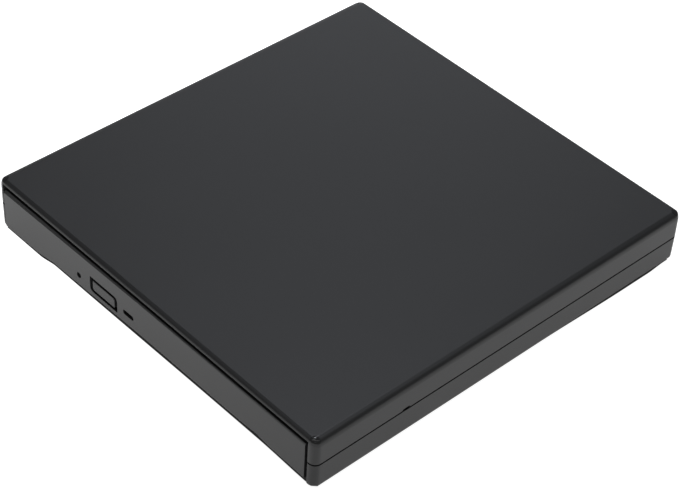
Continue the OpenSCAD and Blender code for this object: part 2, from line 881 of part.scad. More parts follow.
module disc_tray() {
    color(plastic_dark) {
        difference() {
            tray_body();
            translate([0, disc_y, 0]) {
                post([0, 0], well_r, well_z, case_top);
                post([0, 0], mini_r, well_z - mini_step, case_top);
            }
            pickup_opening();
            both_sides() {
                block(
                    [groove_in, tray_front - over, rail_z - rail_h / 2 - rail_clear],
                    [tray_half + over, tray_rear + over, rail_z + rail_h / 2 + rail_clear]
                );
                block(
                    [lug_x - lug_w / 2 - snug, tray_front - over, rail_z - lug_h / 2 - snug],
                    [lug_x + lug_w / 2 + snug, tray_front + tray_rim + over, rail_z + lug_h / 2 + snug]
                );
            }
            block(
                [window_left, tray_front - over, plate_top],
                [window_right, tray_front + tray_rim + over, deck_z]
            );
            upright(tray_front - over, button_flange + button_travel + free) translate(button_mid)
                square([flange_w + 2 * free, flange_h + 2 * free], center = true);
            block(
                [post_x - channel_half, tray_rear - tray_rim - over, 0],
                [post_x + channel_half, tray_rear + over, post_top + free]
            );
            rod_along_y(ejector_block - 4, tray_rear + over, ejector_x, ejector_z, ejector_r + running);
        }
        at_mechanism() for (at = bushes) post(at, bush_pin_r, plate_top, deck_z);
        for (x = [main_board_left + 4, main_board_right - 4], y = [main_board_front + 4, main_board_rear - 4])
            post([x, y], bush_pin_r, board_top, deck_z);
        for (x = [front_board_left + 2, front_board_right - 2])
            post([x, front_board_rear - 2], bush_pin_r, board_top, deck_z);
    }
}

// The bezel's front outline, with its two low ends
module bezel_outline() {
    half = bezel_half;
    high = shell_z + bezel_rise;
    low = high - bezel_drop;
    polygon([
        [-half, low], [-half + bezel_end, low], [-half + bezel_end + bezel_slope, high],
        [half - bezel_end - bezel_slope, high], [half - bezel_end, low], [half, low],
        [half, bezel_top], [-half, bezel_top]
    ]);
}

// The button's outline: two corners square, and two cut across
module button_outline(w, h, corner) {
    polygon([
        [-w / 2, h / 2], [w / 2 - corner, h / 2], [w / 2, h / 2 - corner],
        [w / 2, -h / 2], [-w / 2 + corner, -h / 2], [-w / 2, -h / 2 + corner]
    ]);
}

// Stands an outline drawn in X and Z up, from one place in Y to another
module upright(from, to) {
    translate([0, to, 0]) rotate([90, 0, 0]) linear_extrude(to - from) children();
}

module front_bezel() {
    color(plastic_black) {
        difference() {
            upright(front_y, tray_front) bezel_outline();
            translate([-bezel_half - over, front_y + bezel_round, bezel_top - bezel_round])
                rotate([90, 0, 90]) linear_extrude(2 * (bezel_half + over)) difference() {
                    translate([-bezel_round - over, 0]) square(bezel_round + over);
                    circle(bezel_round);
                }
            upright(front_y - over, tray_front + over) {
                translate(button_mid) button_outline(hole_w, hole_h, button_corner);
                translate(lamp_mid) square([lamp_w, lamp_h], center = true);
            }
            rod_along_y(front_y - over, tray_front + over, -pinhole_x, shell_z + pinhole_z, pinhole_r);
        }
        both_sides() block(
            [lug_x - lug_w / 2, tray_front, rail_z - lug_h / 2],
            [lug_x + lug_w / 2, tray_front + lug_l, rail_z + lug_h / 2]
        );
    }
}

module eject_button() {
    color(plastic_black) {
        upright(front_y, tray_front + snug) translate(button_mid)
            button_outline(button_w, button_h, button_corner);
        upright(tray_front + snug, button_flange) translate(button_mid)
            square([flange_w, flange_h], center = true);
        upright(button_flange, button_back) translate(button_mid) square([3, 2.4], center = true);
    }
}

module led_light_pipe() {
    color(white_plastic) upright(front_y + 0.1, tray_front + 1.2) translate(lamp_mid)
        square([lamp_w - 2 * lamp_fit, lamp_h - 2 * lamp_fit], center = true);
}

module front_board() {
    color(board_green) block(
        [front_board_left, tray_front + tray_rim + snug, board_z],
        [front_board_right, front_board_rear, board_top]
    );
}

module eject_switch() {
    body_y = switch_front + 1;
    color(steel) block(
        [button_mid.x - 3, body_y, board_top],
        [button_mid.x + 3, body_y + 3.5, button_mid.y + 1.4]
    );
    color(chip_black) upright(switch_front, body_y) translate(button_mid) square([2, 1.6], center = true);
}

module status_led() {
    lead = tray_front + tray_rim + snug;
    color(white_plastic) block(
        [lamp_mid.x - 1.2, lead, board_top],
        [lamp_mid.x + 1.2, lead + 1.6, lamp_mid.y + lamp_h / 2]
    );
}

module tray_bottom_plate() {
    color(steel) difference() {
        block([-tray_side, tray_front, plate_z], [tray_side, tray_rear, plate_top]);
        block(
            [post_x - channel_half, post_y - channel_half, 0],
            [post_x + channel_half, tray_rear + over, case_top]
        );
        block(
            [ribbon_x - ribbon_w / 2 - 1, main_board_front - 3, 0],
            [ribbon_x + ribbon_w / 2 + 1, main_board_front - 0.5, case_top]
        );
    }
}

module tray_screws() {
    mid = (tray_wall_in + groove_in) / 2;
    color(dark_steel) both_sides() for (y = [tray_front + 8, disc_y, tray_rear - 8])
        post([mid, y], 0.5, plate_z - 0.15, plate_z);
}

module main_board() {
    color(board_green) block(
        [main_board_left, main_board_front, board_z],
        [main_board_right, main_board_rear, board_top]
    );
}

module main_chips() {
    mid_y = (main_board_front + main_board_rear) / 2;
    color(chip_black) {
        for (i = [0:len(main_chips_at) - 1])
            translate([main_board_left + main_chips_at[i].x, mid_y + main_chips_at[i].y, board_top])
                cube(main_chip_sizes[i]);
        for (x = [9:3:21])
            translate([main_board_left + x, mid_y - 1, board_top]) cube([1, 1.6, 0.7]);
    }
    color(white_plastic) block(
        [ribbon_x - ribbon_w / 2 - 1, main_board_front, board_top],
        [ribbon_x + ribbon_w / 2 + 1, main_board_front + 3, board_top + 1.4]
    );
}

// Outline of the plate that carries the spindle and the pickup
module traverse_outline() {
    polygon([
        [-20, -20], [-12, -25], [20, -31], [36, -31], [44, -25], [screw_end - 1, -screw_v - 2.5],
        [rod_end, -main_rod_v - 2], [rod_end, sub_rod_v + 1.7], [38, 25.5], [20, 25.5], [-10, 20], [-20, 16]
    ]);
}

module traverse_plate() {
    color(steel) at_mechanism() difference() {
        union() {
            translate([0, 0, mech_z]) linear_extrude(mech_t) traverse_outline();
            for (v = [-main_rod_v, sub_rod_v], u = [rod_start, rod_end - stand_t])
                block([u, v - stand_half, mech_top], [u + stand_t, v + stand_half, stand_top]);
            block(
                [screw_end - stand_t, -screw_v - stand_half, mech_top],
                [screw_end, -screw_v + stand_half, stand_top]
            );
        }
        for (at = bushes) post(at, bush_r, 0, case_top);
        for (v = [-main_rod_v, sub_rod_v])
            rod_along_x(rod_start - over, rod_end + over, v, rod_z, rod_r + rod_fit);
        rod_along_x(screw_end - stand_t - over, screw_end + over, -screw_v, rod_z, screw_r + running);
    }
}

module damper_bushes() {
    color(rubber) at_mechanism() for (at = bushes) translate(at) {
        ring(bush_r, bush_pin_r + running, plate_top, bush_top);
        ring(bush_r + 0.7, bush_r, mech_top, mech_top + bush_flange);
    }
}

module motor_base() {
    color(steel) translate([0, disc_y, 0]) difference() {
        union() {
            post([0, 0], base_r, mech_top, mech_top + base_t);
            post([0, 0], sleeve_r, mech_top, sleeve_top);
        }
        post([0, 0], shaft_r + running, mech_top + 0.2, case_top);
    }
}

module motor_stator() {
    color(copper) translate([0, disc_y, 0]) {
        ring(sleeve_r + 2, sleeve_r + 0.02, stator_z, stator_z + stator_h);
        for (i = [0:pole_count - 1]) rotate(i * 360 / pole_count)
            block([sleeve_r + 1.5, -1.2, stator_z], [stator_r, 1.2, stator_z + stator_h]);
    }
}

module main_guide_rod() {
    color(steel) at_mechanism() rod_along_x(rod_start, rod_end, -main_rod_v, rod_z, rod_r);
}

module sub_guide_rod() {
    color(steel) at_mechanism() rod_along_x(rod_start, rod_end, sub_rod_v, rod_z, rod_r);
}

module sled_motor() {
    color(steel) at_mechanism() difference() {
        intersection() {
            rod_along_x(motor_front - motor_l, motor_front, -screw_v, rod_z, motor_r);
            block([-20, -screw_v - motor_r, mech_top], [20, -screw_v + motor_r, mech_top + motor_h]);
        }
        rod_along_x(motor_front - 4, motor_front + over, -screw_v, rod_z, screw_r + running);
    }
}

module latch_solenoid() {
    x = latch_pivot_x - 9;
    y = latch_pivot_y + 4;
    color(steel) {
        block([x, y, plate_top], [x + 6, y + 1, plate_top + 3.6]);
        block([x, y + 7, plate_top], [x + 6, y + 8, plate_top + 3.6]);
    }
    color(copper) rod_along_y(y + 1, y + 7, x + 3, plate_top + 1.8, 1.8);
}

module latch_pivot() {
    color(steel) post([latch_pivot_x, latch_pivot_y], latch_pin_r, plate_top, deck_z);
}

module latch_lever() {
    color(white_plastic) translate([latch_pivot_x, latch_pivot_y, latch_z]) difference() {
        linear_extrude(latch_t) union() {
            circle(latch_pin_r + 0.9);
            polygon([
                [-1, 0], [1, 0], [-0.4, hook_l - 1.6], [hook_tip, hook_l - 1.6],
                [hook_tip, hook_l], [-1.4, hook_l]
            ]);
            polygon([[0, -0.8], [latch_tail, 1], [latch_tail, 2.6], [0, 1.4]]);
        }
        translate([0, 0, -over]) cylinder(r = latch_pin_r + running, h = latch_t + 2 * over);
    }
}

module rotor() {
    color(steel) translate([0, disc_y, 0]) {
        difference() {
            post([0, 0], rotor_r, rotor_z, turntable_z);
            post([0, 0], rotor_r - rotor_wall, rotor_z - over, turntable_z - rotor_roof);
        }
        post([0, 0], shaft_r, mech_top + 0.4, turntable_z);
    }
}

module turntable() {
    color(plastic_dark) translate([0, disc_y, 0]) difference() {
        union() {
            post([0, 0], turntable_r, turntable_z, turntable_top);
            post([0, 0], pad_in, turntable_top, disc_z);
            post([0, 0], hub_r, disc_z, disc_z + hub_h);
            post([0, 0], hub_r - collar_step, disc_z + hub_h, hub_top);
            translate([0, 0, hub_top]) cylinder(r1 = hub_r - collar_step, r2 = hub_r - 1.6, h = hub_cap);
        }
        for (i = [0:2]) rotate(90 + i * 120)
            block(
                [pawl_in - 1, -pawl_w / 2 - pawl_clear, disc_z + hub_h],
                [hub_r + over, pawl_w / 2 + pawl_clear, hub_top]
            );
    }
}

module turntable_pad() {
    color(rubber) translate([0, disc_y, 0])
        ring(pad_out, pad_in, turntable_top, disc_z);
}

// One clamping pawl, turned to its slot in the hub
module pawl(turn) {
    color(white_plastic) translate([0, disc_y, pawl_z]) rotate(turn) linear_extrude(pawl_h) polygon([
        [pawl_in, -pawl_w / 2], [hub_r - 0.3, -pawl_w / 2], [hub_r + pawl_out, -pawl_w / 4],
        [hub_r + pawl_out, pawl_w / 4], [hub_r - 0.3, pawl_w / 2], [pawl_in, pawl_w / 2]
    ]);
}

module pawl_1() {
    pawl(90);
}

module pawl_2() {
    pawl(210);
}

module pawl_3() {
    pawl(330);
}

module pickup_sled() {
    color(dark_steel) at_mechanism() translate([lens_in, 0, 0]) difference() {
        union() {
            block([-sled_back, -lug_in, sled_z], [sled_front, fork_in, sled_top]);
            block([-sled_back, -main_rod_v - lug_half, sled_z], [sled_front, -lug_in, sled_top]);
            block([-3, fork_in, sled_z], [3, fork_out, sled_top]);
        }
        rod_along_x(-sled_back - over, sled_front + over, -main_rod_v, rod_z, rod_r + running);
        block(
            [-3 - over, sub_rod_v - rod_r - 0.3, rod_z - rod_r - running],
            [3 + over, fork_out + over, rod_z + rod_r + running]
        );
        block([-4, -main_rod_v - lug_half - over, 0], [1, -lug_in, case_top]);
        block([-pocket_u, -pocket_v, pocket_z], [pocket_u, pocket_v, case_top]);
    }
}

module pickup_cover() {
    color(steel) at_mechanism() translate([lens_in, 0, 0]) difference() {
        block(
            [0.5 - sled_back, 0.5 - lug_in, sled_top],
            [sled_front - 0.3, fork_in - 0.5, sled_top + cover_t]
        );
        block([-pocket_u, -pocket_v, 0], [pocket_u, pocket_v, case_top]);
    }
}

module sled_nut() {
    color(white_plastic) at_mechanism() translate([lens_in, 0, 0]) difference() {
        block([nut_back, -screw_v - nut_half, sled_z], [nut_front - 2.5, -main_rod_v - lug_half, sled_top]);
        rod_along_x(nut_back - over, nut_front, -screw_v, rod_z, screw_r + nut_gap);
    }
}

module lens_holder() {
    color(chip_black) at_mechanism() translate([lens_in, 0, 0]) difference() {
        block([-holder_u, -holder_v, holder_z], [holder_u, holder_v, holder_z + holder_h]);
        post([0, 0], lens_r, holder_z + 1, case_top);
        for (v = [-1, 1]) block([-1.6, v * 3.2 - 0.4, 0], [1.6, v * 3.2 + 0.4, case_top]);
    }
}

module objective_lens() {
    base = holder_z + 1;
    cap = 3.2;
    color(lens_blue) at_mechanism() translate([lens_in, 0, 0]) {
        post([0, 0], lens_r, base, base + 1);
        intersection() {
            post([0, 0], lens_r - 0.2, base + 1, base + 1 + lens_h);
            translate([0, 0, base + 1 + lens_h - cap]) sphere(cap);
        }
    }
}

module lead_screw() {
    color(steel) at_mechanism() rod_along_x(motor_front - 3.5, screw_end, -screw_v, rod_z, screw_r);
}

module ejector_rod() {
    color(white_plastic) {
        rod_along_y(ejector_tail, ejector_tip, ejector_x, ejector_z, ejector_r);
        rod_along_y(ejector_collar, ejector_collar + collar_t, ejector_x, ejector_z, collar_r);
    }
}

// The space that the ejector's spring fills between its block and the collar
module ejector_spring() {
    color(steel) translate([ejector_x, 0, ejector_z]) rotate([-90, 0, 0])
        ring(collar_r, ejector_r + 0.3, ejector_block, ejector_collar);
}

top_cover();
bottom_cover();
rubber_feet();
case_screws();
drive_screws();
bridge_board();
bridge_chips();
board_screws();
usb_socket();
power_socket();
sata_socket();
drive_chassis();
drive_lid();
lid_screws();
left_rail_guide();
right_rail_guide();
rear_board();
sata_plug();
latch_post();
flex_cable();
left_rail();
right_rail();
disc_tray();
front_bezel();
led_light_pipe();
front_board();
eject_switch();
status_led();
tray_bottom_plate();
tray_screws();
main_board();
main_chips();
traverse_plate();
damper_bushes();
motor_base();
motor_stator();
main_guide_rod();
sub_guide_rod();
sled_motor();
latch_solenoid();
latch_pivot();
eject_button();
rotor();
turntable();
turntable_pad();
pawl_1();
pawl_2();
pawl_3();
pickup_sled();
pickup_cover();
sled_nut();
lens_holder();
objective_lens();
lead_screw();
latch_lever();
ejector_rod();
ejector_spring();
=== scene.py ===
"""Looks of an external disc drive: a matte case, its bezel, the sliding tray and the works inside.

Shapes are in millimetres until they become objects, which are in metres.
"""

import json
import logging
import math
from collections.abc import Callable, Sequence
from dataclasses import dataclass, replace
from enum import Enum
from functools import cache

import bmesh
import bpy
from mathutils import Matrix, Vector


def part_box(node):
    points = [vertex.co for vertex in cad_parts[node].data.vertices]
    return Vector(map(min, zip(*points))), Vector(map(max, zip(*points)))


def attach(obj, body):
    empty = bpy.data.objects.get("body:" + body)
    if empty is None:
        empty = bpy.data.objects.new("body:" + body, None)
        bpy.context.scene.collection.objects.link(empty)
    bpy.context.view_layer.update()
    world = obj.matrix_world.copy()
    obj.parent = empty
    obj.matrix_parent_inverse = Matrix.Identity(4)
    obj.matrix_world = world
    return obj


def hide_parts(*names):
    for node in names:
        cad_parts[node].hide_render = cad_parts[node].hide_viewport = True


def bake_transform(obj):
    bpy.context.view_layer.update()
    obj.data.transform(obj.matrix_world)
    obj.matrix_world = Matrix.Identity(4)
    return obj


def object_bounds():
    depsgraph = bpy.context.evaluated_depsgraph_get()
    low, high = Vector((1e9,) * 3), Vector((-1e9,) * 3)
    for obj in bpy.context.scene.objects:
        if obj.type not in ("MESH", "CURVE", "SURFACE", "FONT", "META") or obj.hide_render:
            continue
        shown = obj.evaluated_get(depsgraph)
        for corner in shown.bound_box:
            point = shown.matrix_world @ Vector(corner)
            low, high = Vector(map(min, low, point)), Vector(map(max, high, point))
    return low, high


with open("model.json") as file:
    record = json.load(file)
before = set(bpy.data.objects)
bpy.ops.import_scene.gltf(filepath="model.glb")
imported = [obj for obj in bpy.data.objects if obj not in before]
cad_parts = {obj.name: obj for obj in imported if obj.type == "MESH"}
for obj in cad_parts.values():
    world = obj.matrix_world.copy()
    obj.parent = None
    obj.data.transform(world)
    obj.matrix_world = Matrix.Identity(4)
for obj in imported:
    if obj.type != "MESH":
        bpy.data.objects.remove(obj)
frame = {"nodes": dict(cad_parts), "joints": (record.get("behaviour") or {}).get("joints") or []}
CAD_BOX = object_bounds()
LOG = logging.getLogger("disc_drive")

MM = 0.001
OVER = 1.0  # how far a cutting tool stands out of what it cuts
ROOT = 0.2  # how deep a rib or boss sinks into its wall
NEAR = 0.002
STRAIGHT = 0.999
FLAT_ANGLE = math.radians(1.0)
SHARP_ANGLE = math.radians(32.0)
DIAGONAL = math.sqrt(0.5)
WAVE_LENGTH = math.tau / 20  # a wave texture's own period
EVEN = (1, 1, 1)  # factors that draw a pattern out in no direction

Flat = tuple[float, float]
Triple = tuple[float, float, float]
Colour = Triple
Row = tuple[float, float, float, float]
EdgeTest = Callable[[bmesh.types.BMEdge], bool]


class Body(Enum):
    """The moving bodies that pieces ride on."""

    CASE = "case"
    LEFT_RAIL = "left_rail"
    RIGHT_RAIL = "right_rail"
    TRAY = "tray"
    BUTTON = "button"
    SPINDLE = "spindle"
    PAWL_1 = "pawl_1"
    PAWL_2 = "pawl_2"
    PAWL_3 = "pawl_3"
    SLED = "sled"
    LENS = "lens"
    SCREW = "screw"
    LATCH = "latch"
    EJECTOR = "ejector"


class Slot(Enum):
    """The record's material slots."""

    CASE_PLASTIC = "case_plastic"
    TRAY_PLASTIC = "tray_plastic"
    WHITE_PLASTIC = "white_plastic"
    CLEAR_PLASTIC = "clear_plastic"
    CHIP_PLASTIC = "chip_plastic"
    CIRCUIT_BOARD = "circuit_board"
    RUBBER = "rubber"
    SHEET_STEEL = "sheet_steel"
    POLISHED_STEEL = "polished_steel"
    SCREW_STEEL = "screw_steel"
    CAST_METAL = "cast_metal"
    COPPER = "copper"
    LENS_GLASS = "lens_glass"


class Axis(Enum):
    """Which way a round or extruded shape runs, as the turn that takes +Z there."""

    X = Matrix.Rotation(math.pi / 2, 4, "Y")
    Y = Matrix.Rotation(-math.pi / 2, 4, "X")
    Z = Matrix.Identity(4)


@dataclass(frozen=True)
class Box:
    """A box between its lowest and its highest corner."""

    low: Vector
    high: Vector

    @property
    def mid(self) -> Vector:
        """Its middle."""
        return (self.low + self.high) / 2

    @property
    def size(self) -> Vector:
        """Its width, depth and height."""
        return self.high - self.low

    def at(self, height: float) -> Vector:
        """Gives the point over or under its middle at a height."""
        return Vector((self.mid.x, self.mid.y, height))


def cad(node: str) -> Box:
    """Gives a CAD node's box."""
    low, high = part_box(node)
    return Box(low / MM, high / MM)


def joint(name: str) -> dict:
    """Finds a joint of the frame by its name."""
    return next(row for row in frame["joints"] if row["name"] == name)


def arc(steps: range, whole: int, sweep: float) -> list[float]:
    """Gives the angles of some steps out of a whole number that make a sweep."""
    return [sweep * step / whole for step in steps]


def along(axis: int) -> EdgeTest:
    """Picks the edges that run along an axis.

    Args:
        axis: 0, 1 or 2 for X, Y or Z.

    Returns:
        A test of one edge.
    """

    def test(edge: bmesh.types.BMEdge) -> bool:
        """Says whether an edge runs along the axis."""
        run = edge.verts[1].co - edge.verts[0].co
        return abs(run[axis]) > STRAIGHT * run.length

    return test


def level(axis: int, place: float) -> EdgeTest:
    """Picks the edges that lie in the plane across an axis at one place."""
    return lambda edge: all(abs(vert.co[axis] - place) < NEAR for vert in edge.verts)


def both(*tests: EdgeTest) -> EdgeTest:
    """Picks the edges that pass every test."""
    return lambda edge: all(test(edge) for test in tests)


class Wire:
    """A node's output that takes part in Python arithmetic."""

    def __init__(self, graph: "Graph", socket: bpy.types.NodeSocket) -> None:
        """Keeps the socket and the graph that it belongs to."""
        self.graph = graph
        self.socket = socket

    def _math(self, operation: str, first: "Wire | float", second: "Wire | float") -> "Wire":
        """Adds one Math node."""
        return self.graph.node("ShaderNodeMath", {"operation": operation}, {0: first, 1: second})

    def __add__(self, other: "Wire | float") -> "Wire":
        """Adds."""
        return self._math("ADD", self, other)

    __radd__ = __add__

    def __sub__(self, other: "Wire | float") -> "Wire":
        """Takes a value away."""
        return self._math("SUBTRACT", self, other)

    def __rsub__(self, other: "Wire | float") -> "Wire":
        """Takes this away from a value."""
        return self._math("SUBTRACT", other, self)

    def __mul__(self, other: "Wire | float") -> "Wire":
        """Multiplies."""
        return self._math("MULTIPLY", self, other)

    __rmul__ = __mul__

    def __gt__(self, other: "Wire | float") -> "Wire":
        """Gives 1 where this is greater, and 0 elsewhere."""
        return self._math("GREATER_THAN", self, other)

    def __lt__(self, other: "Wire | float") -> "Wire":
        """Gives 1 where this is less, and 0 elsewhere."""
        return self._math("LESS_THAN", self, other)

    def __abs__(self) -> "Wire":
        """Gives the size without the sign."""
        return self._math("ABSOLUTE", self, 0.0)

    def at_least(self, other: "Wire | float") -> "Wire":
        """Gives the greater of the two."""
        return self._math("MAXIMUM", self, other)


class Graph:
    """The node tree of one material or of the world."""

    def __init__(self, tree: bpy.types.NodeTree) -> None:
        """Empties the tree."""
        self.tree = tree
        tree.nodes.clear()

    def node(self, kind: str, settings: dict | None = None, inputs: dict | None = None,
             output: int | str = 0) -> Wire:
        """Adds a node.

        Args:
            kind: The node's type.
            settings: Its own settings, set first.
            inputs: Values or wires for its sockets, by name or number.
            output: The output to give back.

        Returns:
            The output as a wire, or the first input where there is none.
        """
        made = self.tree.nodes.new(kind)
        for key, value in (settings or {}).items():
            setattr(made, key, value)
        for key, value in (inputs or {}).items():
            if isinstance(value, Wire):
                self.tree.links.new(value.socket, made.inputs[key])
            else:
                made.inputs[key].default_value = value
        return Wire(self, made.outputs[output] if made.outputs else made.inputs[0])

    def place(self, stretch: Triple = EVEN) -> Wire:
        """Gives Object coordinates in metres, stretched along the axes."""
        point = self.node("ShaderNodeTexCoord", output="Object")
        return self.node("ShaderNodeMapping", {}, {"Vector": point, "Scale": stretch})

    def noise(self, size: float, detail: float = 2.0, stretch: Triple = EVEN) -> Wire:
        """Gives soft noise from 0 to 1 in patches of a size, drawn out where the stretch is under 1."""
        inputs = {"Vector": self.place(stretch), "Scale": 1 / (size * MM), "Detail": detail}
        return self.node("ShaderNodeTexNoise", {}, inputs)

    def cells(self, size: float, output: str = "Color") -> Wire:
        """Gives a random grey for each cell, or the distance to the cell's middle."""
        inputs = {"Vector": self.place(), "Scale": 1 / (size * MM)}
        return self.node("ShaderNodeTexVoronoi", {}, inputs, output)

    def bands(self, pitch: float, direction: str) -> Wire:
        """Gives even bands from 0 to 1.

        Args:
            pitch: Distance from one band to the next.
            direction: The axis on which they follow each other, or DIAGONAL.

        Returns:
            The bands' value.
        """
        settings = {"wave_type": "BANDS", "bands_direction": direction}
        inputs = {"Vector": self.place(), "Scale": WAVE_LENGTH / (pitch * MM)}
        return self.node("ShaderNodeTexWave", settings, inputs)

    def ramp(self, value: Wire, start: float, end: float, low: float = 0.0, high: float = 1.0) -> Wire:
        """Goes smoothly from one value to another.

        Args:
            value: The value that it follows.
            start: Where it starts to change.
            end: Where it ends.
            low: What it is at the start.
            high: What it is at the end.

        Returns:
            The changed value.
        """
        settings = {"interpolation_type": "SMOOTHSTEP"}
        inputs = {"Value": value, "From Min": start, "From Max": end, "To Min": low, "To Max": high}
        return self.node("ShaderNodeMapRange", settings, inputs)

    def blend(self, factor: Wire, first: Colour | Wire, second: Colour) -> Wire:
        """Mixes two colours."""
        start = first if isinstance(first, Wire) else (*first, 1)
        return self.node("ShaderNodeMix", {"data_type": "RGBA"}, {0: factor, 6: start, 7: (*second, 1)}, 2)

    def bump(self, height: Wire, depth: float) -> Wire:
        """Gives a normal from a height, with the depth of the relief."""
        return self.node("ShaderNodeBump", {}, {"Height": height, "Distance": depth * MM, "Strength": 1.0})

    def vector(self, operation: str, first: Wire, second: Triple = (0, 0, 0), output: int = 0) -> Wire:
        """Adds one Vector Math node, whose output 1 is a number."""
        return self.node("ShaderNodeVectorMath", {"operation": operation}, {0: first, 1: second}, output)


@dataclass(frozen=True)
class Finish:
    """A surface that becomes one material.

    Args:
        name: The material's name.
        slot: The record's material slot. Not used.
        colour: Its base colour, linear.
        roughness: Its mean roughness.
    """

    name: str
    slot: Slot
    colour: Colour
    roughness: float

    def tones(self, graph: Graph, factor: Wire, shades: Flat) -> Wire:
        """Mixes a darker and a lighter shade of the base colour, given as shares of it."""
        dark, light = (tuple(min(1.0, part * share) for part in self.colour) for share in shades)
        return graph.blend(factor, dark, light)

    def paint(self, graph: Graph) -> dict:
        """Gives the shader's inputs by name."""
        return {"Base Color": (*self.colour, 1), "Roughness": self.roughness}


@cache
def material_of(finish: Finish) -> bpy.types.Material:
    """Makes a finish's material the first time that it is asked for.

    Args:
        finish: The finish.

    Returns:
        The material.
    """
    material = bpy.data.materials.new(finish.name)
    material.use_nodes = True
    graph = Graph(material.node_tree)
    shader = graph.node("ShaderNodeBsdfPrincipled", {}, finish.paint(graph))
    graph.node("ShaderNodeOutputMaterial", {}, {"Surface": shader})
    return material


@dataclass(frozen=True)
class Plastic(Finish):
    """Moulded plastic or rubber with a spark-eroded grain.

    Args:
        grain: How wide a grain is.
        depth: How deep the grain is.
        mottle: Share by which the colour drifts over the piece.
        specular: Strength of its mirror reflection.
        worn: A corner whose four mirror images are rubbed smooth, or None.
        rubbed: Where the rubbing starts and ends round the corner, and its share of the roughness.
        cloud: How wide a patch of the drifting colour is.
        uneven: How much the roughness follows the patches and the grain.
    """

    grain: float = 0.3
    depth: float = 0.004
    mottle: float = 0.06
    specular: float = 0.42
    worn: Triple | None = None
    rubbed: Triple = (0.9, 2.2, 0.22)
    cloud: float = 22.0
    uneven: Flat = (0.06, 0.08)

    def paint(self, graph: Graph) -> dict:
        """Gives a grained and slightly mottled surface, rubbed smooth at its worn corners.

        Args:
            graph: The material's node tree.

        Returns:
            The shader's inputs by name.
        """
        grain = graph.noise(self.grain, 3)
        cloud = graph.noise(self.cloud)
        roughness = self.roughness + (cloud - 0.5) * self.uneven[0] + (grain - 0.5) * self.uneven[1]
        if self.worn:
            start, end, share = self.rubbed
            roughness *= graph.ramp(self._from_corner(graph), start * MM, end * MM, share, 1.0)
        return {
            "Base Color": self.tones(graph, cloud, (1 - self.mottle, 1 + self.mottle)),
            "Roughness": roughness,
            "Specular IOR Level": self.specular,
            "Normal": graph.bump(grain, self.depth),
        }

    def _from_corner(self, graph: Graph) -> Wire:
        """Gives the distance to the nearest worn corner, in metres."""
        folded = graph.vector("ABSOLUTE", graph.place())
        return graph.vector("DISTANCE", folded, tuple(part * MM for part in self.worn), 1)


@dataclass(frozen=True)
class Metal(Finish):
    """Metal with crystals of plating or drawn lines.

    Args:
        spangle: How wide a crystal is.
        drawn: Factors on the coordinates that draw out the scratches.
        depth: How deep the scratches are.
        scratch: How wide a scratch is.
        haze: How wide a patch of haze is.
        shades: Shares of the base colour in its dark and its light places.
        uneven: How much the roughness follows the crystals and the haze.
    """

    spangle: float = 1.6
    drawn: Triple = (1, 0.06, 1)
    depth: float = 0.002
    scratch: float = 0.12
    haze: float = 9.0
    shades: Flat = (0.88, 1.08)
    uneven: Flat = (0.1, 0.12)

    def paint(self, graph: Graph) -> dict:
        """Gives a metal with patches of shine and fine scratches.

        Args:
            graph: The material's node tree.

        Returns:
            The shader's inputs by name.
        """
        crystal = graph.cells(self.spangle)
        lines = graph.noise(self.scratch, 2, self.drawn)
        haze = graph.noise(self.haze, 3)
        return {
            "Base Color": self.tones(graph, crystal, self.shades),
            "Roughness": self.roughness + (crystal - 0.5) * self.uneven[0] + (haze - 0.5) * self.uneven[1],
            "Metallic": 1.0,
            "Normal": graph.bump(lines, self.depth),
        }


@dataclass(frozen=True)
class BoardMask(Finish):
    """Green solder resist over copper tracks, with tinned dots.

    Args:
        patch: How wide an area with tracks in one direction is.
        pitch: Distance from one track to the next.
        gap: Share of the pitch that is bare.
        dots: Distance from one dot to the next.
        dot: A dot's radius, as a share of that distance.
        tin: The dots' colour.
        shades: Shares of the base colour in its dark and its light places.
        smooth: How much smoother the dots are.
        metallic: How metallic the dots are.
        relief: How far tracks and dots stand out.
    """

    patch: float = 6.0
    pitch: float = 0.9
    gap: float = 0.72
    dots: float = 2.6
    dot: float = 0.16
    tin: Colour = (0.55, 0.53, 0.48)
    shades: Flat = (0.75, 1.5)
    smooth: float = 0.1
    metallic: float = 0.9
    relief: float = 0.02

    def paint(self, graph: Graph) -> dict:
        """Gives tracks in two directions and round pads.

        Args:
            graph: The material's node tree.

        Returns:
            The shader's inputs by name.
        """
        patch = graph.noise(self.patch, 0) > 0.5
        across, lengthwise = (graph.bands(self.pitch, way) > self.gap for way in "XY")
        tracks = across * patch + lengthwise * (1 - patch)
        pads = graph.cells(self.dots, "Distance") < self.dot
        return {
            "Base Color": graph.blend(pads, self.tones(graph, tracks, self.shades), self.tin),
            "Roughness": self.roughness - pads * self.smooth,
            "Metallic": pads * self.metallic,
            "Normal": graph.bump(tracks + pads, self.relief),
        }


@dataclass(frozen=True)
class Winding(Finish):
    """Enamelled wire wound in fine turns.

    Args:
        pitch: Distance from one turn to the next.
        shades: Shares of the base colour in the painted shade between the turns and the painted highlight
            on them.
        dull: How much rougher it is between the turns.
        metallic: How metallic it is.
        relief: How far the turns stand out.
    """

    pitch: float = 0.22
    shades: Flat = (0.55, 1.1)
    dull: float = 0.2
    metallic: float = 0.85
    relief: float = 0.03

    def paint(self, graph: Graph) -> dict:
        """Gives fine bands of wire, with painted shade between the turns and painted highlight on them."""
        turns = graph.bands(self.pitch, "DIAGONAL")
        return {
            # Painted shade between the turns and painted highlight on them.
            "Base Color": self.tones(graph, turns, self.shades),
            "Roughness": self.roughness + (1 - turns) * self.dull,
            "Metallic": self.metallic,
            "Normal": graph.bump(turns, self.relief),
        }


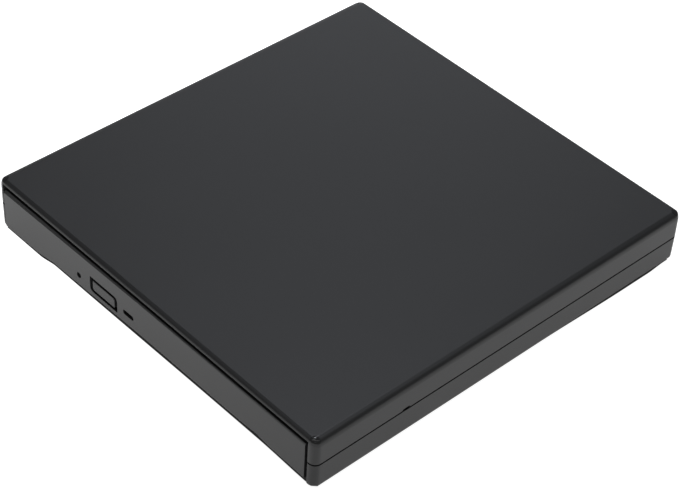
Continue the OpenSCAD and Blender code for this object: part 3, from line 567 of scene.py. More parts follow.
@dataclass(frozen=True)
class FlatCable(Finish):
    """A flat cable's skin, with its conductors showing through.

    Args:
        pitch: Distance from one conductor to the next.
        shades: Shares of the base colour in its dark and its light places.
        haze: How wide a patch of haze is.
        uneven: How much the roughness follows the haze.
        relief: How far the conductors stand out.
    """

    pitch: float = 0.5
    shades: Flat = (0.62, 1.0)
    haze: float = 5.0
    uneven: float = 0.1
    relief: float = 0.01

    def paint(self, graph: Graph) -> dict:
        """Gives stripes along the cable."""
        stripe = graph.bands(self.pitch, "X")
        return {
            "Base Color": self.tones(graph, stripe, self.shades),
            "Roughness": self.roughness + (graph.noise(self.haze) - 0.5) * self.uneven,
            "Normal": graph.bump(stripe, self.relief),
        }


@dataclass(frozen=True)
class Glass(Finish):
    """Clear glass or plastic with a faint tint.

    Args:
        cloud: How wide a patch of the drifting tint is.
        shades: Shares of the base colour in its dark and its light places.
        haze: How wide a patch of haze is.
        uneven: How much the roughness follows the haze.
        clear: How much light passes through.
        index: Its index of refraction.
    """

    cloud: float = 3.0
    shades: Flat = (0.94, 1.0)
    haze: float = 1.5
    uneven: float = 0.03
    clear: float = 0.9
    index: float = 1.5

    def paint(self, graph: Graph) -> dict:
        """Gives a clear surface with a trace of haze."""
        return {
            "Base Color": self.tones(graph, graph.noise(self.cloud), self.shades),
            "Roughness": self.roughness + graph.noise(self.haze) * self.uneven,
            "Transmission Weight": self.clear,
            "IOR": self.index,
        }


class Finishes:
    """The finishes of the drive's materials."""

    CASE = Plastic("case_black", Slot.CASE_PLASTIC, (0.0204, 0.0206, 0.0210), 0.42, grain=0.35,
                   depth=0.0035, specular=0.262)
    CASE_TOP = replace(CASE, name="case_top_black", worn=(68.6, 71.4, 17.7))
    # A copy of the case plastic that reflects less on the lower shell: painted shade for the darker floor
    # near its foot.
    CASE_BASE_SHADED = replace(CASE, name="case_base_shaded_black", specular=0.23)
    TRAY = Plastic("tray_black", Slot.TRAY_PLASTIC, (0.013, 0.013, 0.014), 0.38, grain=0.4, depth=0.003)
    HUB = Plastic("hub_black", Slot.TRAY_PLASTIC, (0.016, 0.016, 0.017), 0.3, grain=0.3, depth=0.002)
    RUBBER = Plastic("foot_rubber", Slot.RUBBER, (0.012, 0.012, 0.012), 0.72, grain=0.22, depth=0.012,
                     mottle=0.15)
    NYLON = Plastic("white_nylon", Slot.WHITE_PLASTIC, (0.74, 0.73, 0.70), 0.42, grain=0.5, depth=0.003,
                    mottle=0.03)
    RESIN = Plastic("chip_resin", Slot.CHIP_PLASTIC, (0.018, 0.018, 0.019), 0.5, grain=0.12, depth=0.006,
                    mottle=0.2)
    SMOKED = Plastic("smoked_lens", Slot.CLEAR_PLASTIC, (0.006, 0.006, 0.006), 0.3, grain=2.0, depth=0.001)
    CLEAR = Glass("clear_resin", Slot.CLEAR_PLASTIC, (0.86, 0.88, 0.86), 0.12)
    LENS = Glass("lens_glass", Slot.LENS_GLASS, (0.62, 0.68, 0.95), 0.03)
    ZINC = Metal("zinc_steel", Slot.SHEET_STEEL, (0.33, 0.335, 0.345), 0.45)
    DARK_STEEL = Metal("phosphated_steel", Slot.SHEET_STEEL, (0.13, 0.132, 0.138), 0.5, spangle=0.7,
                       depth=0.004)
    POLISHED = Metal("polished_steel", Slot.POLISHED_STEEL, (0.72, 0.73, 0.75), 0.16, spangle=4.0,
                     drawn=(0.1, 0.1, 1), depth=0.001)
    BLACK_ZINC = Metal("black_zinc", Slot.SCREW_STEEL, (0.075, 0.075, 0.08), 0.36, spangle=0.4, drawn=EVEN)
    CAST = Metal("die_cast", Slot.CAST_METAL, (0.3, 0.31, 0.325), 0.52, spangle=0.25, drawn=EVEN,
                 depth=0.012)
    GOLD = Metal("gold_flash", Slot.COPPER, (0.85, 0.62, 0.27), 0.25, spangle=0.8)
    TIN = Metal("tinned_lead", Slot.SHEET_STEEL, (0.6, 0.6, 0.6), 0.34, spangle=0.3, drawn=EVEN)
    MASK = BoardMask("board_green", Slot.CIRCUIT_BOARD, (0.014, 0.085, 0.036), 0.3)
    COIL = Winding("enamelled_wire", Slot.COPPER, (0.70, 0.30, 0.12), 0.3)
    CABLE = FlatCable("flat_cable", Slot.WHITE_PLASTIC, (0.72, 0.72, 0.70), 0.35)


class Form:
    """A mesh that is shaped step by step and then becomes a piece."""

    def __init__(self) -> None:
        """Starts with nothing."""
        self.mesh = bmesh.new()

    @classmethod
    def of_node(cls, node: str) -> "Form":
        """Starts from a merged copy of a CAD node, with its flat faces whole.

        Args:
            node: The CAD node.

        Returns:
            The form.
        """
        form = cls()
        form.mesh.from_mesh(frame["nodes"][node].data)
        return form.move(Matrix.Scale(1 / MM, 4)).tidy()

    def tidy(self) -> "Form":
        """Merges doubles and joins faces that lie in one plane.

        Returns:
            The form.
        """
        mesh = self.mesh
        bmesh.ops.remove_doubles(mesh, verts=mesh.verts, dist=NEAR)
        bmesh.ops.dissolve_limit(mesh, angle_limit=FLAT_ANGLE, verts=mesh.verts, edges=mesh.edges)
        return self

    def move(self, place: Matrix) -> "Form":
        """Transforms the whole form."""
        bmesh.ops.transform(self.mesh, matrix=place, verts=self.mesh.verts)
        return self

    def _settle(self, before: set, place: Matrix = Matrix.Identity(4)) -> "Form":
        """Merges, places and turns outwards what was made since a moment.

        Args:
            before: The vertices of that moment.
            place: Where the new shape goes.

        Returns:
            The form.
        """
        fresh = [vert for vert in self.mesh.verts if vert not in before]
        bmesh.ops.remove_doubles(self.mesh, verts=fresh, dist=NEAR)
        fresh = [vert for vert in self.mesh.verts if vert not in before]
        bmesh.ops.transform(self.mesh, matrix=place, verts=fresh)
        faces = {face for vert in fresh for face in vert.link_faces}
        bmesh.ops.recalc_face_normals(self.mesh, faces=list(faces))
        return self

    def block(self, low: Sequence[float], high: Sequence[float]) -> "Form":
        """Adds a box from one corner to the opposite one.

        Args:
            low: Its lowest corner.
            high: Its highest corner.

        Returns:
            The form.
        """
        low, high = Vector(low), Vector(high)
        place = Matrix.Translation((low + high) / 2) @ Matrix.Diagonal((*(high - low), 1))
        bmesh.ops.create_cube(self.mesh, size=1, matrix=place)
        return self

    def drum(self, at: Sequence[float], radius: float, length: float, axis: Axis = Axis.Z,
             sides: int = 48) -> "Form":
        """Adds a round bar.

        Args:
            at: The middle of its lower end.
            radius: Its radius.
            length: Its length, along the axis.
            axis: Which way it runs.
            sides: How many sides stand for the round.

        Returns:
            The form.
        """
        place = Matrix.Translation(at) @ axis.value @ Matrix.Translation((0, 0, length / 2))
        bmesh.ops.create_cone(self.mesh, cap_ends=True, segments=sides, radius1=radius, radius2=radius,
                              depth=length, matrix=place)
        return self

    def turned(self, outline: Sequence[Flat], at: Sequence[float] = (0, 0, 0), axis: Axis = Axis.Z,
               ring: bool = False, sides: int = 64) -> "Form":
        """Turns an outline round an axis.

        Args:
            outline: Radius and height of each point.
            at: Where height 0 of the axis is.
            axis: Which way the axis runs.
            ring: Whether the outline closes on itself, off the axis.
            sides: How many sides stand for the round.

        Returns:
            The form.
        """
        before = set(self.mesh.verts)
        verts = [self.mesh.verts.new((radius, 0, height)) for radius, height in outline]
        pairs = zip(verts, verts[1:] + verts[:1] if ring else verts[1:])
        edges = [self.mesh.edges.new(pair) for pair in pairs]
        bmesh.ops.spin(self.mesh, geom=verts + edges, axis=(0, 0, 1), angle=math.tau, steps=sides,
                       use_merge=True)
        return self._settle(before, Matrix.Translation(at) @ axis.value)

    def coil(self, section: Sequence[Flat], radius: float, pitch: float, turns: float, place: Matrix,
             sides: int = 20) -> "Form":
        """Winds a closed section round an axis as a left-hand helix.

        Args:
            section: The section's points, from its place on the radius.
            radius: Radius at which it is wound.
            pitch: Rise in one turn.
            turns: How many turns.
            place: Where the helix starts, with its axis on +Z.
            sides: Steps in one turn.

        Returns:
            The form.
        """
        before = set(self.mesh.verts)
        verts = [self.mesh.verts.new((radius + out, 0, up)) for out, up in section]
        edges = [self.mesh.edges.new(pair) for pair in zip(verts, verts[1:] + verts[:1])]
        bmesh.ops.spin(self.mesh, geom=verts + edges, axis=(0, 0, 1), dvec=(0, 0, pitch / sides),
                       angle=-math.tau * turns, steps=round(turns * sides))
        rims = [edge for edge in self.mesh.edges if edge.is_boundary and edge.verts[0] not in before]
        bmesh.ops.holes_fill(self.mesh, edges=rims, sides=len(section))
        return self._settle(before, place)

    def prism(self, outline: Sequence[Flat], start: float, end: float, axis: Axis = Axis.Z) -> "Form":
        """Extrudes an outline along an axis.

        Args:
            outline: Its points on the two other axes, in X, Y, Z order.
            start: Where it starts on the axis.
            end: Where it ends.
            axis: The axis.

        Returns:
            The form.
        """
        before = set(self.mesh.verts)
        rank = list(Axis).index(axis)

        def point(flat: Flat, run: float) -> Vector:
            """Puts a point of the outline on its axes."""
            return Vector((*flat[:rank], run, *flat[rank:]))

        face = self.mesh.faces.new([self.mesh.verts.new(point(flat, start)) for flat in outline])
        grown = bmesh.ops.extrude_face_region(self.mesh, geom=[face])["geom"]
        tops = [part for part in grown if isinstance(part, bmesh.types.BMVert)]
        bmesh.ops.translate(self.mesh, verts=tops, vec=point((0, 0), end - start))
        return self._settle(before)

    def loft(self, *outlines: Sequence[Sequence[float]]) -> "Form":
        """Joins closed outlines of as many points each into one solid, in their order.

        Args:
            outlines: The points of each outline.

        Returns:
            The form.
        """
        before = set(self.mesh.verts)
        rings = [[self.mesh.verts.new(point) for point in outline] for outline in outlines]
        for ring, following in zip(rings, rings[1:]):
            for index in range(len(ring)):
                self.mesh.faces.new((ring[index - 1], ring[index], following[index], following[index - 1]))
        self.mesh.faces.new(rings[0])
        self.mesh.faces.new(rings[-1])
        return self._settle(before)

    def soften(self, test: EdgeTest, width: float, segments: int = 3) -> "Form":
        """Rounds the edges that a test picks.

        Args:
            test: The test.
            width: Width of the round.
            segments: How many faces stand for the round.

        Returns:
            The form.
        """
        edges = [edge for edge in self.mesh.edges if test(edge)]
        bmesh.ops.bevel(self.mesh, geom=edges, offset=width, offset_type="OFFSET", segments=segments,
                        profile=0.5, affect="EDGES", material=-1)
        return self

    def crown(self, profile: Sequence[Flat], corner: float, shares: Flat) -> "Form":
        """Draws the top face in and up along a profile.

        Args:
            profile: Inset and drop of each point of the profile, from the wall up.
            corner: Radius of the upright corners.
            shares: How far in the profile goes at the front and at the back, against the sides.

        Returns:
            The form.
        """
        top = max(self.mesh.faces, key=lambda face: face.calc_center_median().z)
        front, back = (pick(vert.co.y for vert in top.verts) for pick in (min, max))
        for (inset, drop), (next_inset, next_drop) in zip(profile, profile[1:]):
            step = next_inset - inset
            bmesh.ops.inset_region(self.mesh, faces=[top], thickness=step, use_even_offset=True)
            bmesh.ops.translate(self.mesh, verts=top.verts, vec=(0, 0, drop - next_drop))
        high = top.calc_center_median().z
        insets = {round(high - drop, 3): inset for inset, drop in profile}
        for vert in self.mesh.verts:
            inset = insets.get(round(vert.co.z, 3), 0.0)
            ahead = max(0.0, (front + corner - vert.co.y) / (corner - inset))
            behind = max(0.0, (vert.co.y - back + corner) / (corner - inset))
            vert.co.y += inset * ((1 - shares[1]) * behind - (1 - shares[0]) * ahead)
        return self

    def stamp(self, other: "Form", place: Matrix) -> "Form":
        """Adds a copy of another form at a place.

        Args:
            other: The other form.
            place: Where the copy goes.

        Returns:
            The form.
        """
        scratch = bpy.data.meshes.new("scratch")
        other.mesh.to_mesh(scratch)
        scratch.transform(place)
        self.mesh.from_mesh(scratch)
        bpy.data.meshes.remove(scratch)
        return self

    def linked(self, name: str) -> bpy.types.Object:
        """Makes an object of the form as it is and puts it in the scene.

        Args:
            name: The object's name.

        Returns:
            The object.
        """
        data = bpy.data.meshes.new(name)
        self.mesh.to_mesh(data)
        thing = bpy.data.objects.new(name, data)
        bpy.context.scene.collection.objects.link(thing)
        return thing

    def _combine(self, tool: "Form", operation: str) -> "Form":
        """Runs an exact Boolean with another form.

        Args:
            tool: The other form.
            operation: Which Boolean it is.

        Returns:
            The form.
        """
        pair = self.linked("base"), tool.linked("tool")
        change = pair[0].modifiers.new("combine", "BOOLEAN")
        change.operation = operation
        change.solver = "EXACT"
        change.object = pair[1]
        made = pair[0].evaluated_get(bpy.context.evaluated_depsgraph_get())
        self.mesh.clear()
        self.mesh.from_mesh(made.to_mesh())
        made.to_mesh_clear()
        for thing in pair:
            bpy.data.meshes.remove(thing.data)
        return self.tidy()

    def cut(self, tool: "Form") -> "Form":
        """Cuts another form out of this one."""
        return self._combine(tool, "DIFFERENCE")

    def fuse(self, tool: "Form") -> "Form":
        """Joins another form to this one."""
        return self._combine(tool, "UNION")

    def _object(self, name: str, finish: Finish, edge: float) -> bpy.types.Object:
        """Makes the finished object, at the origin and in metres.

        Args:
            name: The object's name.
            finish: Its finish.
            edge: Width of the round on its sharp edges, or 0 where they stay sharp.

        Returns:
            The object, which rides on nothing yet.
        """
        thing = self.move(Matrix.Scale(MM, 4)).linked(name)
        self.mesh.free()
        thing.data.shade_smooth()
        thing.data.materials.append(material_of(finish))
        if edge:
            round_off = thing.modifiers.new("edges", "BEVEL")
            round_off.limit_method = "ANGLE"
            round_off.angle_limit = SHARP_ANGLE
            round_off.width = edge * MM
            round_off.segments = 2
        else:
            thing.data.set_sharp_from_angle(angle=SHARP_ANGLE)
        normals = thing.modifiers.new("normals", "WEIGHTED_NORMAL")
        normals.keep_sharp = True
        normals.weight = 100
        return thing

    def piece(self, name: str, body: Body, finish: Finish, *nodes: str, edge: float,
              slot: Slot | None = None) -> None:
        """Makes the finished piece and sets it on its body.

        Args:
            name: The piece's name.
            body: The body that it rides on.
            finish: Its finish.
            nodes: The CAD nodes that it stands for.
            edge: Width of the round on its sharp edges, or 0 where they stay sharp.
            slot: The record's material slot, where it isn't the finish's own. Not used.
        """
        thing = self._object(name, finish, edge)
        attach(thing, body.value)
        if nodes:
            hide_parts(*nodes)
        LOG.info("%s rides on %s with %d faces", name, body.value, len(thing.data.polygons))

    def drawn_piece(self, name: str, finish: Finish, bodies: Sequence[Body], span: Sequence[Vector],
                    *nodes: str) -> None:
        """Makes a finished piece that stays at its place, on no body.

        Args:
            name: The piece's name.
            finish: Its finish.
            bodies: The body that it starts on and the one that it ends on. Not used.
            span: Where it leaves the first body and where it reaches the second. Not used.
            nodes: The CAD nodes that it stands for.
        """
        thing = self._object(name, finish, 0)
        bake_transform(thing)
        if nodes:
            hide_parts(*nodes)


def solids(node: str) -> list[Box]:
    """Finds the boxes of a node's separate solids, from left to right.

    Args:
        node: The CAD node.

    Returns:
        One box for each solid.
    """
    form = Form.of_node(node)
    left = set(form.mesh.verts)
    boxes = []
    while left:
        island = {left.pop()}
        front = set(island)
        while front:
            front = {edge.other_vert(vert) for vert in front for edge in vert.link_edges} & left
            island |= front
            left -= front
        sides = list(zip(*(vert.co for vert in island)))
        boxes.append(Box(Vector(map(min, sides)), Vector(map(max, sides))))
    form.mesh.free()
    return sorted(boxes, key=lambda box: tuple(round(part, 2) for part in box.low))


def carry(body: Body, finish: Finish, *nodes: str, edge: float) -> None:
    """Builds CAD pieces whose shape is right, with softened edges and a finish.

    Args:
        body: The body that they ride on.
        finish: Their finish.
        nodes: The CAD nodes, one for each piece.
        edge: Width of the round on their edges.
    """
    for node in nodes:
        Form.of_node(node).piece(f"{node}_body", body, finish, node, edge=edge)


@dataclass
class ScrewMaker:
    """Pan-head screws with a cross recess.

    Args:
        head: Height of the head.
        shank: Radius of the shank.
        dome: The head's outline, in shares of its radius and height.
        tip: Length of the tip.
        tip_share: Radius of the tip's end, as a share of the shank's.
        arm: Length and half width of the recess's arms, as shares of the head's radius.
        sink: Depth of the recess, as a share of the head's height.
        edge: Width of the round on the edges.
    """

    head: float = 0.5
    shank: float = 0.7
    dome: tuple[Flat, ...] = ((0, 0), (0.62, 0), (0.88, 0.16), (1, 0.5), (1, 1))
    tip: float = 0.3
    tip_share: float = 0.6
    arm: Flat = (0.6, 0.15)
    sink: float = 0.6
    edge: float = 0.06

    def build(self, node: str, toward: Callable[[Box], Vector]) -> None:
        """Builds the screws of one node.

        Args:
            node: The CAD node.
            toward: Gives the way from a screw's head to its tip.
        """
        made = Form()
        for box in solids(node):
            run = toward(box)
            length = box.size.dot(Vector(map(abs, run)))
            radius = min(part for part, way in zip(box.size, run) if not way) / 2
            start = box.mid - run * length / 2
            place = Matrix.Translation(start) @ run.to_track_quat("Z", "Y").to_matrix().to_4x4()
            made.stamp(self._screw(radius, length), place)
        made.piece(f"{node}_set", Body.CASE, Finishes.BLACK_ZINC, node, edge=self.edge)

    def _screw(self, radius: float, length: float) -> Form:
        """Makes one screw with its head's face at height 0.

        Args:
            radius: Radius of the head.
            length: Length of the whole screw.

        Returns:
            The form.
        """
        head, shank = self.head, self.shank
        form = Form().turned([
            *((radius * out, head * up) for out, up in self.dome),
            (shank, head), (shank, length - self.tip), (shank * self.tip_share, length), (0, length),
        ], sides=40)
        arm, half = (radius * share for share in self.arm)
        corners = [(arm, -half), (arm, half), (half, half)]
        cross = []
        for _ in range(4):
            cross += corners
            corners = [(-y, x) for x, y in corners]
        return form.cut(Form().prism(cross, -OVER, head * self.sink))


@dataclass
class CaseShells:
    """The two moulded half shells, with feet and screws."""

    side_wall: float = 2.4
    rear_wall: float = 1.8
    roof: float = 1.5
    floor: float = 1.5
    corner: float = 2.3
    crown: tuple[Flat, ...] = (
        (0, 2.4), (0.03, 2.0), (0.09, 1.6), (0.18, 1.2), (0.32, 0.86), (0.53, 0.58), (0.82, 0.39),
        (1.2, 0.25), (1.65, 0.13), (1.98, 0.032), (2.27, 0),
    )
    crown_shares: Flat = (0.68, 0.5)
    bottom_round: float = 0.8
    lean: float = 0.2
    seam: float = 0.5
    lip_height: float = 1.37
    lip_depth: float = 1.5
    mouth_right: float = 67.15
    tongue: float = 0.9
    fit: float = 0.1
    notch_width: float = 2.6
    notch_y: float = -39.3
    notch_rise: float = 0.5
    boss: float = 2.6
    pilot: float = 1.0
    pilot_stop: float = 1.0
    board_pilot: float = 0.75
    board_pilot_sink: float = 0.5
    board_pilot_length: float = 6.0
    head_room: float = 0.9
    socket_room: float = 0.3
    floor_set_back: float = 0.8
    rib: float = 2.0
    rib_front: float = 18.0
    rib_rear: float = 4.0
    rib_inset: Flat = (14.0, 4.0)
    rib_drop: float = 1.0
    foot_dish: float = 0.12

    def __post_init__(self) -> None:
        """Takes the shells' outlines from the frame."""
        self.upper = cad("top_cover")
        self.lower = cad("bottom_cover")
        self.drive = cad("drive_chassis")
        self.inner_x = self.upper.high.x - self.side_wall
        self.inner_rear = self.upper.high.y - self.rear_wall
        self.lip_back = self.upper.low.y + self.lip_depth
        drive = self.drive
        self.rib_ys = (drive.low.y + self.rib_front, drive.mid.y, drive.high.y - self.rib_rear)

    def build(self) -> None:
        """Builds the shells, the feet and the screws."""
        self.build_upper()
        self.build_lower()
        self.build_feet()
        for node in ("case_screws", "drive_screws"):
            ScrewMaker(head=0.7, shank=0.95).build(node, lambda box: Vector((0, 0, 1)))

    def _rib(self, y: float, inset: float, low: float, high: float) -> Form:
        """Makes a rib across the drive, short of the drive's sides by an inset."""
        reach, half = self.drive.high.x - inset, self.rib / 2
        return Form().block((-reach, y - half, low), (reach, y + half, high))

    def build_upper(self) -> None:
        """Builds the upper shell with its lip, groove, bosses and ribs."""
        box, inner, rear, lip = self.upper, self.inner_x, self.inner_rear, self.lip_back
        below = box.low.z - OVER
        roof = box.high.z - self.roof
        mouth = box.high.z - self.lip_height
        groove = self.tongue + self.fit
        half = self.notch_width / 2
        shell = Form().block(box.low, (box.high.x, box.high.y, box.high.z - self.crown[0][1]))
        shell.soften(along(2), self.corner, 10)
        shell.crown(self.crown, self.corner, self.crown_shares)
        for low, high in (
            ((-inner, lip, below), (inner, rear, roof)),
            ((-inner, box.low.y - OVER, below), (self.mouth_right, lip, mouth)),
            ((-inner, lip - OVER / 10, below), (inner, lip + OVER, mouth)),
            ((-inner - groove, lip, below), (inner + groove, rear + groove, self.lower.high.z)),
            ((inner + groove, self.notch_y - half, below),
             (box.high.x + OVER, self.notch_y + half, box.low.z + self.notch_rise)),
        ):
            shell.cut(Form().block(low, high))
        for y in self.rib_ys:
            shell.fuse(self._rib(y, self.rib_inset[0], cad("drive_lid").high.z, roof + ROOT))
        for screw in solids("case_screws"):
            start = box.low.z - self.seam / 2
            shell.fuse(Form().drum(screw.at(start), self.boss, roof + ROOT - start))
            shell.cut(Form().drum(screw.at(below), self.pilot, roof - self.pilot_stop - below))
        shell.piece("upper_shell", Body.CASE, Finishes.CASE_TOP, "top_cover", edge=0.1)

    def build_lower(self) -> None:
        """Builds the lower shell with its tongue, bosses, ribs, recesses and socket holes."""
        box, inner, rear, lip = self.lower, self.inner_x, self.inner_rear, self.lip_back
        rim = self.upper.low.z - self.seam
        floor = box.low.z + self.floor
        front = self.upper.low.y
        floor_front = cad("disc_tray").low.y + self.floor_set_back
        below, above = box.low.z - OVER, rim + OVER
        shell = Form().block((box.low.x, front, box.low.z), (box.high.x, box.high.y, rim))
        for vert in shell.mesh.verts:
            if vert.co.z < rim - NEAR:
                vert.co.x -= math.copysign(self.lean, vert.co.x)
        top, bottom = level(2, rim), level(2, box.low.z)
        shell.soften(lambda edge: not top(edge) and not bottom(edge), self.corner, 10)
        shell.soften(bottom, self.bottom_round, 4)
        shell.cut(Form().block((-inner, lip, floor), (inner, rear, above)))
        shell.cut(Form().block((-inner, front - OVER, below), (self.mouth_right, floor_front, above)))
        shell.cut(Form().block((0, lip, below), (inner, floor_front, above)))
        ring = Form().block((-inner - self.tongue, lip, rim - self.seam / 2),
                            (inner + self.tongue, rear + self.tongue, box.high.z))
        ring.cut(Form().block((-inner, front - OVER, box.low.z), (inner, rear, box.high.z + OVER)))
        shell.fuse(ring)
        self._add_supports(shell, floor)
        self._cut_openings(shell, floor)
        shell.piece("lower_shell", Body.CASE, Finishes.CASE_BASE_SHADED, "bottom_cover", edge=0.1)

    def _add_supports(self, shell: Form, floor: float) -> None:
        """Adds the bosses and ribs inside the lower shell.

        Args:
            shell: The lower shell.
            floor: Height of its floor, inside.
        """
        seam = self.upper.low.z - self.seam / 2
        half = self.rib / 2
        low, bay = floor - ROOT, self.drive.low.z
        for y in self.rib_ys:
            shell.fuse(self._rib(y, self.rib_inset[1], low, bay))
            for side in (-1, 1):
                start, end = sorted((side * (self.drive.high.x + self.fit), side * (self.inner_x + ROOT)))
                shell.fuse(Form().block((start, y - half, low), (end, y + half, seam - self.rib_drop)))
        tops = {"case_screws": seam, "drive_screws": bay, "board_screws": cad("bridge_board").low.z}
        for node, top in tops.items():
            for screw in solids(node):
                shell.fuse(Form().drum(screw.at(low), self.boss, top - low))

    def _cut_openings(self, shell: Form, floor: float) -> None:
        """Cuts the screw holes, the feet's recesses and the socket holes.

        Args:
            shell: The lower shell.
            floor: Height of its floor, inside.
        """
        low = self.lower.low.z
        below = low - OVER
        for screw in solids("case_screws") + solids("drive_screws"):
            shell.cut(Form().drum(screw.at(below), self.pilot, self.upper.high.z))
            shell.cut(Form().drum(screw.at(below), screw.size.x / 2 + self.fit, OVER + self.head_room))
        for screw in solids("board_screws"):
            start = screw.at(floor - self.board_pilot_sink)
            shell.cut(Form().drum(start, self.board_pilot, self.board_pilot_length))
        for foot in solids("rubber_feet"):
            shell.cut(Form().drum(foot.at(below), foot.size.x / 2, foot.high.z - below, sides=64))
        usb, room, start = cad("usb_socket"), self.socket_room, self.inner_rear - OVER
        shell.cut(Form().block((usb.low.x - room, start, usb.low.z - room),
                               (usb.high.x + room, self.lower.high.y + OVER, usb.high.z + room)))
        power = cad("power_socket").mid
        shell.cut(Form().drum((power.x, start, power.z), RearSockets.nose + self.fit,
                              self.rear_wall + 2 * OVER, Axis.Y))

    def build_feet(self) -> None:
        """Builds the four feet with their rounded rims and dished undersides."""
        feet = Form()
        for box in solids("rubber_feet"):
            radius, height, dish = box.size.x / 2, box.size.z, self.foot_dish
            feet.turned([
                (0, dish), (radius * 0.55, dish), (radius * 0.62, 0), (radius - 0.35, 0),
                (radius - 0.1, 0.1), (radius, 0.35), (radius, height), (0, height),
            ], box.at(box.low.z))
        feet.piece("feet_set", Body.CASE, Finishes.RUBBER, "rubber_feet", edge=0)


@dataclass
class FrontPanel:
    """The bezel with its button, lamp and emergency hole.

    Args:
        bottom_line: X and Z of the bezel's uneven lower edge, from left to right.
        top_edge: For places in X, how deep the slanted top edge is, and how far its two sides lie down.
    """

    bottom_line: tuple[Flat, ...] = (
        (-67.45, 0.65), (-51, 0.85), (-44.5, 1.95), (-34, 2.3), (-4, 2.9), (41, 3.05), (46.5, 3.3),
        (51.5, 2.75), (66.1, 2.1),
    )
    bottom_round: float = 0.25
    top_edge: tuple[Row, ...] = (
        (-68.0, 0.67, 0.99, 1.95), (-4.0, 0.3, 0.35, 0.85), (68.0, 0.3, 0.35, 0.85),
    )
    button_size: Flat = (10.15, 3.5)
    button_gap: Flat = (1.2, 0.95)
    button_shift: Triple = (-0.2, 0, -0.3)
    button_corner: float = 0.9
    button_crisp: float = 0.3
    button_round: float = 0.22
    flange: float = 0.8
    stem: Flat = (1.5, 1.2)
    overlap: float = 0.1
    lamp_fit: float = 0.35
    lamp_height: float = 1.6
    lamp_depth: float = 1.4
    lamp_round: float = 0.8
    pinhole_x: float = -31.35
    pinhole_z: float = 6.05
    pinhole: float = 0.95
    lug_width: float = 6.0
    lug_height: float = 1.6
    lug_root: float = 0.3
    lug_x: float = 48.0

    def build(self) -> None:
        """Builds the bezel, the button and the lamp."""
        self.back = cad("disc_tray").low.y
        self.build_bezel()
        self.build_button()
        self.build_lamp()

    def _button_form(self, grow: Flat, start: float, end: float) -> Form:
        """Makes the button's outline, with two round and two crisp corners.

        Args:
            grow: How much wider and higher the outline is on each side.
            start: Where the form starts in Y.
            end: Where it ends.

        Returns:
            The form.
        """
        mid = cad("eject_button").mid + Vector(self.button_shift)
        half_x, half_z = (size / 2 + more for size, more in zip(self.button_size, grow))
        form = Form().block((mid.x - half_x, start, mid.z - half_z), (mid.x + half_x, end, mid.z + half_z))

        def round_one(edge: bmesh.types.BMEdge) -> bool:
            """Picks the lower left and the upper right corner."""
            away = edge.verts[0].co - mid
            return away.x * away.z > 0

        def crisp_one(edge: bmesh.types.BMEdge) -> bool:
            """Picks the corners that are still square."""
            away = edge.verts[0].co - mid
            return abs(abs(away.x) - half_x) < NEAR and abs(abs(away.z) - half_z) < NEAR

        form.soften(both(along(1), round_one), self.button_corner + min(grow) / 2, 6)
        return form.soften(both(along(1), crisp_one), self.button_crisp, 3)

    def build_bezel(self) -> None:
        """Builds the bezel with its low ends, its holes and its lugs."""
        box, back = cad("front_bezel"), self.back
        start, end = box.low.y - OVER, back + OVER
        corners = [(self.bottom_line[index][0], box.high.z) for index in (-1, 0)]
        bezel = Form().prism([*self.bottom_line, *corners], box.low.y, back, Axis.Y)
        high = max(z for _, z in self.bottom_line) + NEAR
        under = both(level(1, box.low.y), lambda edge: all(vert.co.z < high for vert in edge.verts))
        bezel.soften(under, self.bottom_round, 3)
        bezel.cut(Form().loft(*(self._edge_section(box, *row) for row in self.top_edge)))
        bezel.cut(self._button_form(self.button_gap, start, end))
        lamp = cad("led_light_pipe")
        half_x, half_z, mid = lamp.size.x / 2 + self.lamp_fit, self.lamp_height / 2, lamp.mid
        slit = Form().block((mid.x - half_x, start, mid.z - half_z), (mid.x + half_x, end, mid.z + half_z))
        bezel.cut(slit.soften(along(1), half_z * self.lamp_round, 4))
        hole = (self.pinhole_x, start, self.pinhole_z)
        bezel.cut(Form().drum(hole, self.pinhole, end - start, Axis.Y, 32))
        rail_z, half_x, half_z = cad("left_rail").mid.z, self.lug_width / 2, self.lug_height / 2
        for x in (-self.lug_x, self.lug_x):
            bezel.fuse(Form().block((x - half_x, back - self.lug_root, rail_z - half_z),
                                    (x + half_x, box.high.y, rail_z + half_z)))
        bezel.piece("bezel", Body.TRAY, Finishes.CASE, "front_bezel", edge=0.12)

    def _edge_section(self, box: Box, x: float, depth: float, high: float, low: float) -> list[Vector]:
        """Gives what the bezel's top edge loses at one place.

        Args:
            box: The bezel's box.
            x: The place.
            depth: How deep the slanted edge is.
            high: How far below the box its upper side is.
            low: How far below the box its lower side is.

        Returns:
            The points of a closed outline.
        """
        front, back, top = box.low.y, box.high.y, box.high.z
        steep = (low - high) / depth
        flat = [(front - OVER, top - low - OVER * steep), (front + depth, top - high), (back, top - high),
                (back, top + OVER), (front - OVER, top + OVER)]
        return [Vector((x, y, z)) for y, z in flat]

    def build_button(self) -> None:
        """Builds the eject button with its flange and stem."""
        box, mid, flange = cad("eject_button"), cad("eject_button").mid, self.back + self.flange
        half_x, half_z = self.stem
        button = self._button_form((0, 0), box.low.y, self.back + ROOT)
        button.soften(level(1, box.low.y), self.button_round, 3)
        button.fuse(Form().block((box.low.x, self.back + self.overlap, box.low.z),
                                 (box.high.x, flange, box.high.z)))
        button.fuse(Form().block((mid.x - half_x, flange - self.overlap, mid.z - half_z),
                                 (mid.x + half_x, box.high.y, mid.z + half_z)))
        button.piece("button_cap", Body.BUTTON, Finishes.CASE, "eject_button", edge=0.08)

